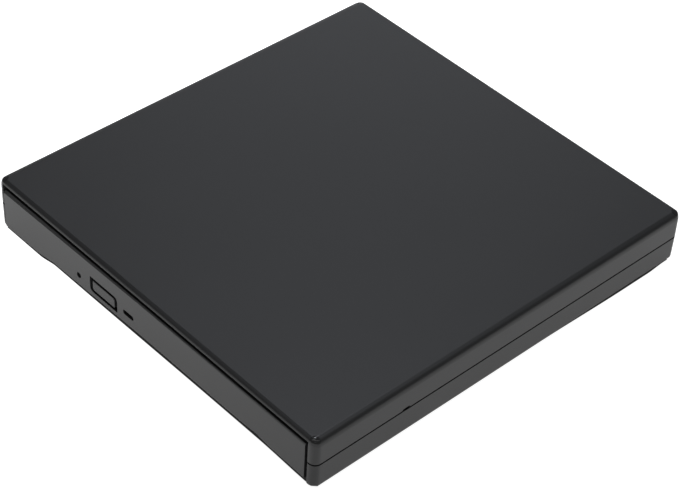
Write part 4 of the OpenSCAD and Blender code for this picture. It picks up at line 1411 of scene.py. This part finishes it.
    def build_lamp(self) -> None:
        """Builds the smoked light pipe and the lamp behind it."""
        box = cad("led_light_pipe")
        pipe = Form().block(box.low + Vector((0, self.lamp_depth, 0)), box.high).soften(along(1), 0.2, 3)
        pipe.piece("light_pipe", Body.TRAY, Finishes.SMOKED, "led_light_pipe", edge=0.06)
        carry(Body.TRAY, Finishes.CLEAR, "status_led", edge=0.1)
        carry(Body.TRAY, Finishes.MASK, "front_board", edge=0.08)
        carry(Body.TRAY, Finishes.ZINC, "eject_switch", edge=0.1)


@dataclass
class RearSockets:
    """The bridge board and the sockets in the rear wall."""

    nose: float = 2.2
    nose_root: float = 0.5
    bore: float = 1.75
    bore_start: float = 1.0
    pin: float = 0.6
    pin_short: float = 1.8
    spring: float = 0.2
    spring_length: float = 3.6
    spring_start: float = 1.5
    body_round: float = 0.4
    skin: float = 0.4
    shell_rounds: Flat = (0.7, 0.4)
    tongue: float = 0.4
    tongue_short: float = 1.5
    contact_count: int = 5
    contact_pitch: float = 0.8
    contact_half: float = 0.2
    contact_short: float = 2.0
    contact_rise: Flat = (0.08, 0.1)

    def build(self) -> None:
        """Builds the board, its chips, and the two sockets."""
        self.build_usb()
        self.build_power()
        carry(Body.CASE, Finishes.MASK, "bridge_board", edge=0.08)
        carry(Body.CASE, Finishes.RESIN, "sata_socket", edge=0.12)
        ChipSet("bridge_chips", Body.CASE).build()
        ScrewMaker().build("board_screws", lambda box: Vector((0, 0, -1)))

    def build_usb(self) -> None:
        """Builds the data socket: a folded steel shell, a tongue and its contacts."""
        box, skin = cad("usb_socket"), self.skin
        mid, back = box.mid, box.low.y + skin
        shell = Form().block(box.low, box.high).soften(along(1), self.shell_rounds[0], 4)
        hollow = Form().block((box.low.x + skin, back, box.low.z + skin),
                              (box.high.x - skin, box.high.y + OVER, box.high.z - skin))
        shell.cut(hollow.soften(along(1), self.shell_rounds[1], 3))
        shell.piece("usb_shell", Body.CASE, Finishes.ZINC, "usb_socket", edge=0.1)
        half, low, high = box.size.x / 4, mid.z - self.tongue, mid.z + self.tongue
        tongue = Form().block((mid.x - half, back, low),
                              (mid.x + half, box.high.y - self.tongue_short, high))
        tongue.piece("usb_tongue", Body.CASE, Finishes.RESIN, edge=0.12)
        contacts = Form()
        half, end = self.contact_half, box.high.y - self.contact_short
        under, over = self.contact_rise
        for index in range(self.contact_count):
            x = mid.x + (index - (self.contact_count - 1) / 2) * self.contact_pitch
            contacts.block((x - half, back, low - under), (x + half, end, low + over))
        contacts.piece("usb_contacts", Body.CASE, Finishes.GOLD, edge=0.04)

    def build_power(self) -> None:
        """Builds the power socket: a moulded body with a bore, a contact spring and a centre pin."""
        box, step = cad("power_socket"), cad("bridge_board").high.y
        axis, root, bore, pin = box.mid, self.nose_root, self.bore, self.pin
        bottom = (axis.x, box.low.y + self.bore_start, axis.z)
        body = Form().block(box.low, (box.high.x, step, box.high.z)).soften(along(1), self.body_round, 3)
        nose = (axis.x, step - root, axis.z)
        body.fuse(Form().drum(nose, self.nose, box.high.y - step + root, Axis.Y, 64))
        body.cut(Form().drum(bottom, bore, box.size.y + OVER, Axis.Y, 64))
        body.piece("power_body", Body.CASE, Finishes.RESIN, "power_socket", edge=0.12)
        length = box.size.y - self.pin_short
        outline = [(0, 0), (pin, 0), (pin, length - 0.4), (pin * 0.6, length - 0.1), (0, length)]
        stem = Form().turned(outline, bottom, Axis.Y, sides=32)
        stem.piece("power_pin", Body.CASE, Finishes.TIN, edge=0, slot=Slot.POLISHED_STEEL)
        thick, length = self.spring, self.spring_length
        ring = [(bore, 0), (bore - thick, thick), (bore - thick, length - thick), (bore, length)]
        start = (axis.x, box.low.y + self.spring_start, axis.z)
        spring = Form().turned(ring, start, Axis.Y, ring=True, sides=48)
        spring.piece("power_contact", Body.CASE, Finishes.TIN, edge=0)


@dataclass
class ChipSet:
    """The chips and small parts of a board, with their leads.

    Args:
        node: The CAD node of the chips.
        body: The body that they ride on.
        pitch: Distance from one lead to the next.
        lead: Width of a lead.
        lead_thick: Thickness of a lead.
        lead_root: How far a lead goes into the chip, and how far the chip stands off the board.
        reach: How far the leads stand out.
        small: Width under which a part has caps in place of leads.
        cap: Length of a cap, as a share of the part's.
        cap_proud: How far a cap stands out at the sides.
    """

    node: str
    body: Body
    pitch: float = 0.8
    lead: float = 0.34
    lead_thick: float = 0.16
    lead_root: float = 0.1
    reach: float = 0.7
    small: float = 4.0
    cap: float = 0.2
    cap_proud: float = 0.04

    def build(self) -> None:
        """Builds the bodies and the leads."""
        cases, leads = Form(), Form()
        for box in solids(self.node):
            add = self._end_caps if min(box.size.x, box.size.y) < self.small else self._gull_wings
            add(cases, leads, box)
        cases.piece(f"{self.node}_cases", self.body, Finishes.RESIN, self.node, edge=0.08)
        leads.piece(f"{self.node}_leads", self.body, Finishes.TIN, edge=0.03)

    def _end_caps(self, cases: Form, leads: Form, box: Box) -> None:
        """Adds a small part with a tinned cap at each end.

        Args:
            cases: Takes the part's body.
            leads: Takes its caps.
            box: The part's box.
        """
        inset = Vector((self.cap_proud, box.size.y * self.cap, 0))
        cases.block(box.low + inset, box.high - inset)
        leads.block(box.low, (box.high.x, box.low.y + inset.y, box.high.z))
        leads.block((box.low.x, box.high.y - inset.y, box.low.z), box.high)

    def _gull_wings(self, cases: Form, leads: Form, box: Box) -> None:
        """Adds a chip with a row of leads on each side.

        Args:
            cases: Takes the chip's body.
            leads: Takes its leads.
            box: The chip's box.
        """
        reach, half, root = self.reach, self.lead / 2, self.lead_root
        inset = Vector((reach, reach, 0))
        cases.block(box.low + inset + Vector((0, 0, root)), box.high - inset)
        for axis in (0, 1):
            count = int((box.size[axis] - 2 * reach) / self.pitch)
            for index in range(count):
                place = box.mid[axis] + (index - (count - 1) / 2) * self.pitch
                for edge in (box.low[1 - axis], box.high[1 - axis] - reach - root):
                    low, high = [0.0, 0.0, box.low.z], [0.0, 0.0, box.low.z + self.lead_thick]
                    low[axis], high[axis] = place - half, place + half
                    low[1 - axis], high[1 - axis] = edge, edge + reach + root
                    leads.block(low, high)


@dataclass
class DriveBay:
    """The slim drive's fixed part: chassis, lid, rails, rear board and the folded cable."""

    cable_thick: float = 0.15
    cable_step: float = 3.0
    cable_clear: float = 0.05
    cable_rise: float = 1.4
    cable_corner: tuple[Flat, ...] = ((-0.1, 0.08), (0, 0.3))
    fold_steps: int = 8

    def build(self) -> None:
        """Builds the bay from the outside in."""
        carry(Body.CASE, Finishes.ZINC, "drive_chassis", "drive_lid", edge=0.12)
        carry(Body.CASE, Finishes.NYLON, "left_rail_guide", "right_rail_guide", edge=0.15)
        carry(Body.LEFT_RAIL, Finishes.ZINC, "left_rail", edge=0.2)
        carry(Body.RIGHT_RAIL, Finishes.ZINC, "right_rail", edge=0.2)
        carry(Body.CASE, Finishes.ZINC, "latch_post", edge=0.2)
        carry(Body.CASE, Finishes.MASK, "rear_board", edge=0.08)
        carry(Body.CASE, Finishes.RESIN, "sata_plug", edge=0.12)
        ScrewMaker().build("lid_screws", lambda box: Vector((-math.copysign(1, box.mid.x), 0, 0)))
        self.build_cable()

    def build_cable(self) -> None:
        """Builds the flat cable: a lower strip on the case and an upper strip with its round fold."""
        box, half = cad("flex_cable"), self.cable_thick / 2
        low = box.low.z + half
        high = cad("tray_bottom_plate").low.z - self.cable_clear - half
        rise = cad("main_board").low.y - self.cable_rise - half
        bend = (high - low) / 2
        fold = box.low.y + bend + half
        turns = arc(range(self.fold_steps + 1), self.fold_steps, math.pi)
        round_end = [(fold - bend * math.sin(turn), low + bend - bend * math.cos(turn)) for turn in turns]
        lower = self._strip(self._steps(box.high.y, fold, low), box)
        lower.piece("cable_lower", Body.CASE, Finishes.CABLE, "flex_cable", edge=0)
        corner = [(rise + out, high + up) for out, up in self.cable_corner]
        straight = self._steps(fold, rise - self.cable_corner[1][1], high)[1:]
        upper = self._strip([*round_end, *straight, *corner, (rise, box.high.z)], box)
        span = Vector((0, fold, high)), Vector((0, rise, high))
        upper.drawn_piece("cable_upper", Finishes.CABLE, (Body.CASE, Body.TRAY), span)

    def _strip(self, path: Sequence[Flat], box: Box) -> Form:
        """Makes a strip of the cable along a path of Y and Z.

        Args:
            path: The points of its middle.
            box: The cable's box, which gives its width.

        Returns:
            The strip, with its thickness.
        """
        strip = Form()
        mesh, skin = strip.mesh, self.cable_thick
        verts = [mesh.verts.new((box.low.x, y, z)) for y, z in path]
        edges = [mesh.edges.new(pair) for pair in zip(verts, verts[1:])]
        wide = bmesh.ops.extrude_edge_only(mesh, edges=edges)["geom"]
        ends = [part for part in wide if isinstance(part, bmesh.types.BMVert)]
        bmesh.ops.translate(mesh, verts=ends, vec=(box.size.x, 0, 0))
        bmesh.ops.recalc_face_normals(mesh, faces=mesh.faces)
        for vert in mesh.verts:
            vert.co -= vert.normal * skin / 2
        bmesh.ops.solidify(mesh, geom=list(mesh.faces), thickness=-skin)
        bmesh.ops.recalc_face_normals(mesh, faces=mesh.faces)
        return strip

    def _steps(self, start: float, end: float, height: float) -> list[Flat]:
        """Gives points along Y at one height, a step apart."""
        count = max(1, round(abs(end - start) / self.cable_step))
        return [(start + (end - start) * index / count, height) for index in range(count + 1)]


@dataclass
class DiscTray:
    """The moulded tray with its wells, boards, latch and ejector."""

    rim_round: float = 0.5
    rim_band: float = 2.5
    rim_slant: float = 0.98
    rim_short: float = 0.2
    cheek: float = 1.0
    winding: Flat = (0.92, 0.99)
    winding_round: float = 0.4
    wire: float = 0.28
    wire_sides: int = 8
    coil_turns: float = 9.0

    def build(self) -> None:
        """Builds the tray and what is fixed in it."""
        self.build_tray()
        carry(Body.TRAY, Finishes.ZINC, "tray_bottom_plate", "latch_pivot", edge=0.1)
        carry(Body.TRAY, Finishes.BLACK_ZINC, "tray_screws", edge=0.05)
        carry(Body.TRAY, Finishes.MASK, "main_board", edge=0.08)
        ChipSet("main_chips", Body.TRAY).build()
        carry(Body.LATCH, Finishes.NYLON, "latch_lever", edge=0.15)
        carry(Body.EJECTOR, Finishes.NYLON, "ejector_rod", edge=0.15)
        self.build_solenoid()
        self.build_spring()

    def build_tray(self) -> None:
        """Builds the moulded tray with a softened rim round its disc well."""
        tray, box = Form.of_node("disc_tray"), cad("disc_tray")
        hub = Vector(joint("spindle_spin")["pos_m"]).xy / MM
        reach = max((vert.co.xy - hub).length for vert in tray.mesh.verts if abs(vert.co.x) < 1)
        well = min(reach, box.size.y / 2)

        def rim(edge: bmesh.types.BMEdge) -> bool:
            """Picks the edges round the mouth of the disc well, but no long straight one.

            Args:
                edge: The edge.

            Returns:
                Whether it is picked.
            """
            near = all(abs((vert.co.xy - hub).length - well) < self.rim_band for vert in edge.verts)
            run = edge.verts[1].co - edge.verts[0].co
            return near and max(abs(run.x), abs(run.y)) < self.rim_slant * run.length + self.rim_short

        tray.soften(both(level(2, box.high.z), rim), self.rim_round, 3)
        tray.piece("tray_moulding", Body.TRAY, Finishes.TRAY, "disc_tray", edge=0.16)

    def build_solenoid(self) -> None:
        """Builds the latch's solenoid: a winding between two steel cheeks."""
        box, cheek = cad("latch_solenoid"), self.cheek
        cheeks = Form()
        for y in (box.low.y, box.high.y - cheek):
            cheeks.block((box.low.x, y, box.low.z), (box.high.x, y + cheek, box.high.z))
        cheeks.piece("solenoid_cheeks", Body.TRAY, Finishes.ZINC, "latch_solenoid", edge=0.12)
        ends, middle = (box.size.z / 2 * share for share in self.winding)
        length, soft = box.size.y - 2 * cheek, self.winding_round
        coil = Form().turned([
            (0, 0), (ends, 0), (middle, soft), (middle, length - soft), (ends, length), (0, length),
        ], (box.mid.x, box.low.y + cheek, box.mid.z), Axis.Y, sides=40)
        coil.piece("solenoid_winding", Body.TRAY, Finishes.COIL, edge=0)

    def build_spring(self) -> None:
        """Builds the ejector's spring, a coil from the tray to the rod."""
        box, wire, turns = cad("ejector_spring"), self.wire, self.coil_turns
        mid = box.mid
        section = [(wire * math.cos(turn), wire * math.sin(turn))
                   for turn in arc(range(self.wire_sides), self.wire_sides, math.tau)]
        place = Matrix.Translation((mid.x, box.low.y + wire, mid.z)) @ Axis.Y.value
        form = Form().coil(section, box.size.x / 2 - wire, (box.size.y - 2 * wire) / turns, turns, place)
        span = [Vector((mid.x, y, mid.z)) for y in (box.low.y, box.high.y)]
        bodies = Body.TRAY, Body.EJECTOR
        form.drawn_piece("spring_coil", Finishes.POLISHED, bodies, span, "ejector_spring")


@dataclass
class Spindle:
    """The motor, the turntable with its rubber ring, and the hub's pawls."""

    hub: float = 7.45
    collar: float = 7.15
    crown: float = 5.85
    wall: float = 1.1
    roof: float = 0.7
    skirt: float = 1.8
    shaft: float = 1.0
    shaft_tip: float = 0.15
    slot_half: float = 1.05
    slot_start: float = 2.2
    slot_fit: Flat = (0.03, 0.05)
    pad_width: float = 3.2
    dish: Flat = (2.1, 1.8)
    dish_depth: float = 0.3

    def build(self) -> None:
        """Builds the spindle from the motor up."""
        centre = Vector(joint("spindle_spin")["pos_m"]) / MM
        self.height = centre.z
        self.foot = (centre.x, centre.y, 0)
        carry(Body.TRAY, Finishes.ZINC, "motor_base", edge=0.1)
        carry(Body.TRAY, Finishes.DARK_STEEL, "traverse_plate", edge=0.1)
        carry(Body.TRAY, Finishes.RUBBER, "damper_bushes", edge=0.12)
        carry(Body.TRAY, Finishes.COIL, "motor_stator", edge=0.2)
        self.build_rotor()
        self.build_turntable()
        for body in (Body.PAWL_1, Body.PAWL_2, Body.PAWL_3):
            carry(body, Finishes.NYLON, body.value, edge=0.12)

    def build_rotor(self) -> None:
        """Builds the rotor's cup with its shaft."""
        box, shaft, tip = cad("rotor"), self.shaft, self.shaft_tip
        radius, top, skirt = box.high.x, box.high.z, self.height - self.skirt
        inside, ceiling = radius - self.wall, top - self.roof
        cup = Form().turned([
            (0, top), (radius - 0.4, top), (radius - 0.1, top - 0.1), (radius, top - 0.4), (radius, skirt),
            (inside, skirt), (inside, ceiling), (shaft, ceiling),
            (shaft, box.low.z + tip), (shaft - tip, box.low.z), (0, box.low.z),
        ], self.foot, sides=80)
        cup.piece("rotor_cup", Body.SPINDLE, Finishes.POLISHED, "rotor", edge=0, slot=Slot.SHEET_STEEL)

    def build_turntable(self) -> None:
        """Builds the turntable with its hub, and the rubber ring round it."""
        box, pad, pawl = cad("turntable"), cad("turntable_pad"), cad("pawl_1")
        radius, outer, hub, collar = box.high.x, pad.high.x, self.hub, self.collar
        inner = outer - self.pad_width
        step, shoulder = pawl.low.z - self.slot_fit[0], pawl.high.z + self.slot_fit[1]
        base, top, low, high = box.low.z, box.high.z, pad.low.z, pad.high.z
        table = Form().turned([
            (0, base), (radius - 0.25, base), (radius, base + 0.25), (radius, low - 0.12),
            (radius - 0.12, low), (inner, low), (inner, high - 0.06), (inner - 0.06, high), (hub, high),
            (hub, step - 0.08), (hub - 0.08, step), (collar, step), (collar, shoulder),
            (collar - 0.2, shoulder + 0.12), (self.crown, top), (self.dish[0], top),
            (self.dish[1], top - self.dish_depth), (0, top - self.dish_depth),
        ], self.foot, sides=96)
        for index in range(3):
            turn = Matrix.Rotation(math.pi / 2 + index * math.tau / 3, 4, "Z")
            slot = Form().block((self.slot_start, -self.slot_half, step),
                                (hub + OVER, self.slot_half, shoulder))
            table.cut(slot.move(Matrix.Translation(self.foot) @ turn))
        table.piece("turntable_hub", Body.SPINDLE, Finishes.HUB, "turntable", edge=0)
        ring = Form().turned([
            (inner, low), (outer, low), (outer, high - 0.15), (outer - 0.15, high), (inner + 0.1, high),
            (inner, high - 0.1),
        ], self.foot, ring=True, sides=96)
        ring.piece("turntable_ring", Body.SPINDLE, Finishes.RUBBER, "turntable_pad", edge=0)


@dataclass
class Pickup:
    """The sled with its lens, its rods and the lead screw."""

    core: float = 0.86
    pitch: float = 3.0
    ridge: float = 0.45
    crest_half: float = 0.1
    thread_root: float = 0.05
    thread_start: float = 4.5
    journal: float = 3.5
    journal_slope: float = 0.3
    chamfer: float = 0.15
    lens_radius: float = 2.0
    dome: float = 0.7
    dome_steps: int = 8
    band: float = 0.2

    def build(self) -> None:
        """Builds the pickup and what drives it."""
        carry(Body.TRAY, Finishes.POLISHED, "main_guide_rod", "sub_guide_rod", edge=0.2)
        carry(Body.TRAY, Finishes.ZINC, "sled_motor", edge=0.3)
        carry(Body.SLED, Finishes.CAST, "pickup_sled", edge=0.2)
        carry(Body.SLED, Finishes.ZINC, "pickup_cover", edge=0.08)
        carry(Body.SLED, Finishes.NYLON, "sled_nut", edge=0.15)
        carry(Body.LENS, Finishes.RESIN, "lens_holder", edge=0.15)
        self.build_lens()
        self.build_screw()

    def build_lens(self) -> None:
        """Builds the domed lens."""
        box, radius = cad("objective_lens"), self.lens_radius
        top = box.size.z
        edge, cap = top - self.dome, radius - self.band
        turns = arc(range(1, self.dome_steps), self.dome_steps, math.pi / 2)
        curve = [(cap * math.cos(turn), edge + self.dome * math.sin(turn)) for turn in turns]
        outline = [(0, 0), (radius, 0), (radius, edge), (cap, edge), *curve, (0, top)]
        lens = Form().turned(outline, box.at(box.low.z), sides=56)
        lens.piece("lens_dome", Body.LENS, Finishes.LENS, "objective_lens", edge=0)

    def build_screw(self) -> None:
        """Builds the lead screw: a core with a left-hand thread."""
        axis, box = Vector(joint("screw_turn")["axis"]), cad("lead_screw")
        core, soft = self.core, self.chamfer
        crest = box.size.z / 2
        length = box.size.x / abs(axis.x) - 2 * crest
        start = box.mid - axis * length / 2
        place = Matrix.Translation(start) @ axis.to_track_quat("Z", "Y").to_matrix().to_4x4()
        half = [(0, 0), (crest - soft, 0), (crest, soft), (crest, self.journal),
                (core, self.journal + self.journal_slope)]
        outline = half + [(radius, length - height) for radius, height in reversed(half)]
        screw = Form().turned(outline, sides=32).move(place)
        tall, sunk = crest - core, -self.thread_root
        flank, tip = self.ridge, self.crest_half
        section = [(sunk, -flank), (tall, -tip), (tall, tip), (sunk, flank)]
        turns = (length - 2 * self.thread_start) / self.pitch
        thread = place @ Matrix.Translation((0, 0, self.thread_start))
        screw.coil(section, core, self.pitch, turns, thread, sides=24)
        screw.piece("lead_screw_thread", Body.SCREW, Finishes.POLISHED, "lead_screw", edge=0)


@dataclass
class Studio:
    """A white floor, soft lights and the camera of the photograph.

    Args:
        azimuth: The camera's place round the object, in degrees from the front to the right.
        elevation: Its height over the horizon, in degrees.
        roll: Its turn about its own axis, in degrees.
        distance: Its distance from the point that it looks at.
        aim: That point.
        focal: Its focal length in pixels of the photograph.
        photo_width: The photograph's width in pixels.
        sensor: The camera's sensor width.
        panels: Name, place, size, power and colour of each light, in metres and watts.
        front_tuck: Ramps that add up to how far the floor's shade stays behind the front edge, as the
            places in X where each starts and ends and its two values.
        side_tuck: The same for the sides, with places in Y.
        corner_tuck: How far the shade stays off the corners.
        shade: Half the width of the shade's edge, and the light that is left in it.
        near_case: How far the painted shade round the case reaches, and its share of light there.
        far_glow: Distances from the middle between which the glow fades, and its shares there.
        depth_glow: The same from the camera's side to the far side.
        across_glow: The same from the camera's left to its right.
    """

    azimuth: float = 45.497
    elevation: float = 41.462
    roll: float = 3.276
    distance: float = 627.2
    aim: Triple = (1.28, -0.28, -0.66)
    focal: float = 2096.2
    photo_width: float = 680.0
    sensor: float = 36.0
    panels: tuple[tuple[str, Triple, Flat, float, Colour], ...] = (
        ("low_key", (-0.83, 0.83, 0.55), (0.7, 0.4), 1.88, (0.94, 0.975, 1.05)),
        ("high_key", (-0.37, 0.37, 1.29), (0.45, 0.4), 6.05, (0.94, 0.975, 1.05)),
        ("overhead", (0.09, -0.09, 1.19), (1.44, 0.35), 2.38, (1.0, 1.0, 1.0)),
        ("fill", (0.8, -0.8, 1.0), (1.0, 0.7), 0.9, (1.0, 1.0, 1.0)),
    )
    floor_half: float = 12.0
    floor_low: float = 0.00005
    floor_glow: float = 1.18
    floor_white: float = 0.35
    world_grey: float = 0.14
    front_tuck: tuple[Row, ...] = ((-51, -44, 0.25, 1.03), (-44, 40, 0, 0.37), (46, 67, 0, -0.42))
    side_tuck: tuple[Row, ...] = ((15, 50, 0.8, 0.3), (61, 69, 0, 0.4))
    corner_tuck: float = 3.0
    shade: Flat = (0.1, 0.018)
    near_case: Flat = (25.0, 0.86)
    far_glow: Row = (0.35, 1.1, 1.0, 0.3)
    depth_glow: Row = (-0.14, 0.06, 0.96, 1.22)
    across_glow: Row = (-0.12, 0.12, 1.07, 0.83)

    def build(self) -> None:
        """Builds the floor, the lights and the camera."""
        self.build_floor()
        self.build_world()
        for panel in self.panels:
            self.add_panel(*panel)
        self.build_camera()
        bpy.context.scene.view_settings.view_transform = "Standard"

    def build_floor(self) -> None:
        """Builds the white floor, which glows so that it stays white up to the case, with a painted shadow
        under the case.
        """
        form = Form()
        place = Matrix.Translation((0, 0, -self.floor_low))
        bmesh.ops.create_grid(form.mesh, x_segments=1, y_segments=1, size=self.floor_half, matrix=place)
        floor = form.linked("floor")
        form.mesh.free()
        material = bpy.data.materials.new("white_floor")
        material.use_nodes = True
        graph = Graph(material.node_tree)
        white, glow = self._floor_light(graph)
        shader = graph.node("ShaderNodeBsdfPrincipled", {}, {
            "Base Color": white, "Roughness": 1.0, "Specular IOR Level": 0.0,
            "Emission Color": glow, "Emission Strength": self.floor_glow,
        })
        graph.node("ShaderNodeOutputMaterial", {}, {"Surface": shader})
        floor.data.materials.append(material)

    def _tuck(self, graph: Graph, place: Wire, rows: Sequence[Row]) -> Wire:
        """Adds up ramps along one side of the case, in metres.

        Args:
            graph: The floor's node tree.
            place: The place along the side, in metres.
            rows: The ramps, as front_tuck gives them.

        Returns:
            Their sum.
        """
        total, *others = (graph.ramp(place, *(part * MM for part in row)) for row in rows)
        for other in others:
            total += other
        return total

    def _floor_light(self, graph: Graph) -> tuple[Wire, Wire]:
        """Gives the floor's colour and glow: a painted shadow under the case, fainter painted shade round
        it, and less glow far from it.

        Args:
            graph: The floor's node tree.

        Returns:
            The colour's grey and the glow's grey.
        """
        point = graph.node("ShaderNodeTexCoord", output="Object")
        x, y = (graph.node("ShaderNodeSeparateXYZ", {}, {0: point}, axis) for axis in (0, 1))
        half = CAD_BOX[1]
        past_x, past_y = abs(x) - half.x, abs(y) - half.y
        sides = (past_x + self._tuck(graph, y, self.side_tuck)).at_least(
            past_y + self._tuck(graph, x, self.front_tuck))
        outside = sides.at_least((past_x + past_y + self.corner_tuck * MM) * DIAGONAL)
        depth, across = (y - x) * DIAGONAL, (y + x) * DIAGONAL
        blur, dark = self.shade
        reach, dim = self.near_case
        # Painted shadow under the case and fainter painted shade round it, in the floor's colour and glow.
        under = graph.ramp(outside, -blur * MM, blur * MM, dark, 1.0)
        painted_shade_beside = graph.ramp(outside, 0.0, reach * MM, dim, 1.0)
        # Painted light: the glow fades far from the middle and changes from near to far and from left to
        # right.
        nearby = graph.ramp(graph.vector("LENGTH", point, output=1), *self.far_glow)
        lean = graph.ramp(depth, *self.depth_glow) * graph.ramp(across, *self.across_glow)
        return under * self.floor_white, under * painted_shade_beside * nearby * lean

    def build_world(self) -> None:
        """Sets a dim grey world."""
        world = bpy.data.worlds.new("studio")
        world.use_nodes = True
        graph = Graph(world.node_tree)
        grey = (*(self.world_grey,) * 3, 1)
        sky = graph.node("ShaderNodeBackground", {}, {"Color": grey, "Strength": 1.0})
        graph.node("ShaderNodeOutputWorld", {}, {"Surface": sky})
        bpy.context.scene.world = world

    def add_panel(self, name: str, at: Triple, size: Flat, power: float, colour: Colour) -> None:
        """Adds a soft rectangular light that faces the origin.

        Args:
            name: Its name.
            at: Its place, in metres.
            size: Its width and height, in metres.
            power: Its power, in watts.
            colour: Its colour.
        """
        data = bpy.data.lights.new(name, "AREA")
        data.shape = "RECTANGLE"
        data.size, data.size_y = size
        data.energy = power
        data.color = colour
        panel = bpy.data.objects.new(name, data)
        panel.location = at
        panel.rotation_mode = "QUATERNION"
        panel.rotation_quaternion = Vector(at).to_track_quat("Z", "Y")
        bpy.context.scene.collection.objects.link(panel)

    def build_camera(self) -> None:
        """Sets the camera where the photograph was taken."""
        turn = Matrix.Rotation(math.radians(self.azimuth), 4, "Z")
        tilt = Matrix.Rotation(math.radians(90 - self.elevation), 4, "X")
        roll = Matrix.Rotation(math.radians(self.roll), 4, "Z")
        facing = turn @ tilt @ roll
        data = bpy.data.cameras.new("camera")
        data.sensor_width = self.sensor
        data.lens = self.focal * self.sensor / self.photo_width
        camera = bpy.data.objects.new("camera", data)
        back = facing @ Vector((0, 0, 1))
        camera.matrix_world = Matrix.Translation((Vector(self.aim) + back * self.distance) * MM) @ facing
        bpy.context.scene.collection.objects.link(camera)
        bpy.context.scene.camera = camera


def main() -> None:
    """Builds the drive's sub-assemblies and the studio."""
    logging.basicConfig(level=logging.INFO, format="%(message)s")
    for assembly in (Studio, CaseShells, FrontPanel, RearSockets, DriveBay, DiscTray, Spindle, Pickup):
        LOG.info("building %s", assembly.__name__)
        assembly().build()


if __name__ == "__main__":
    main()
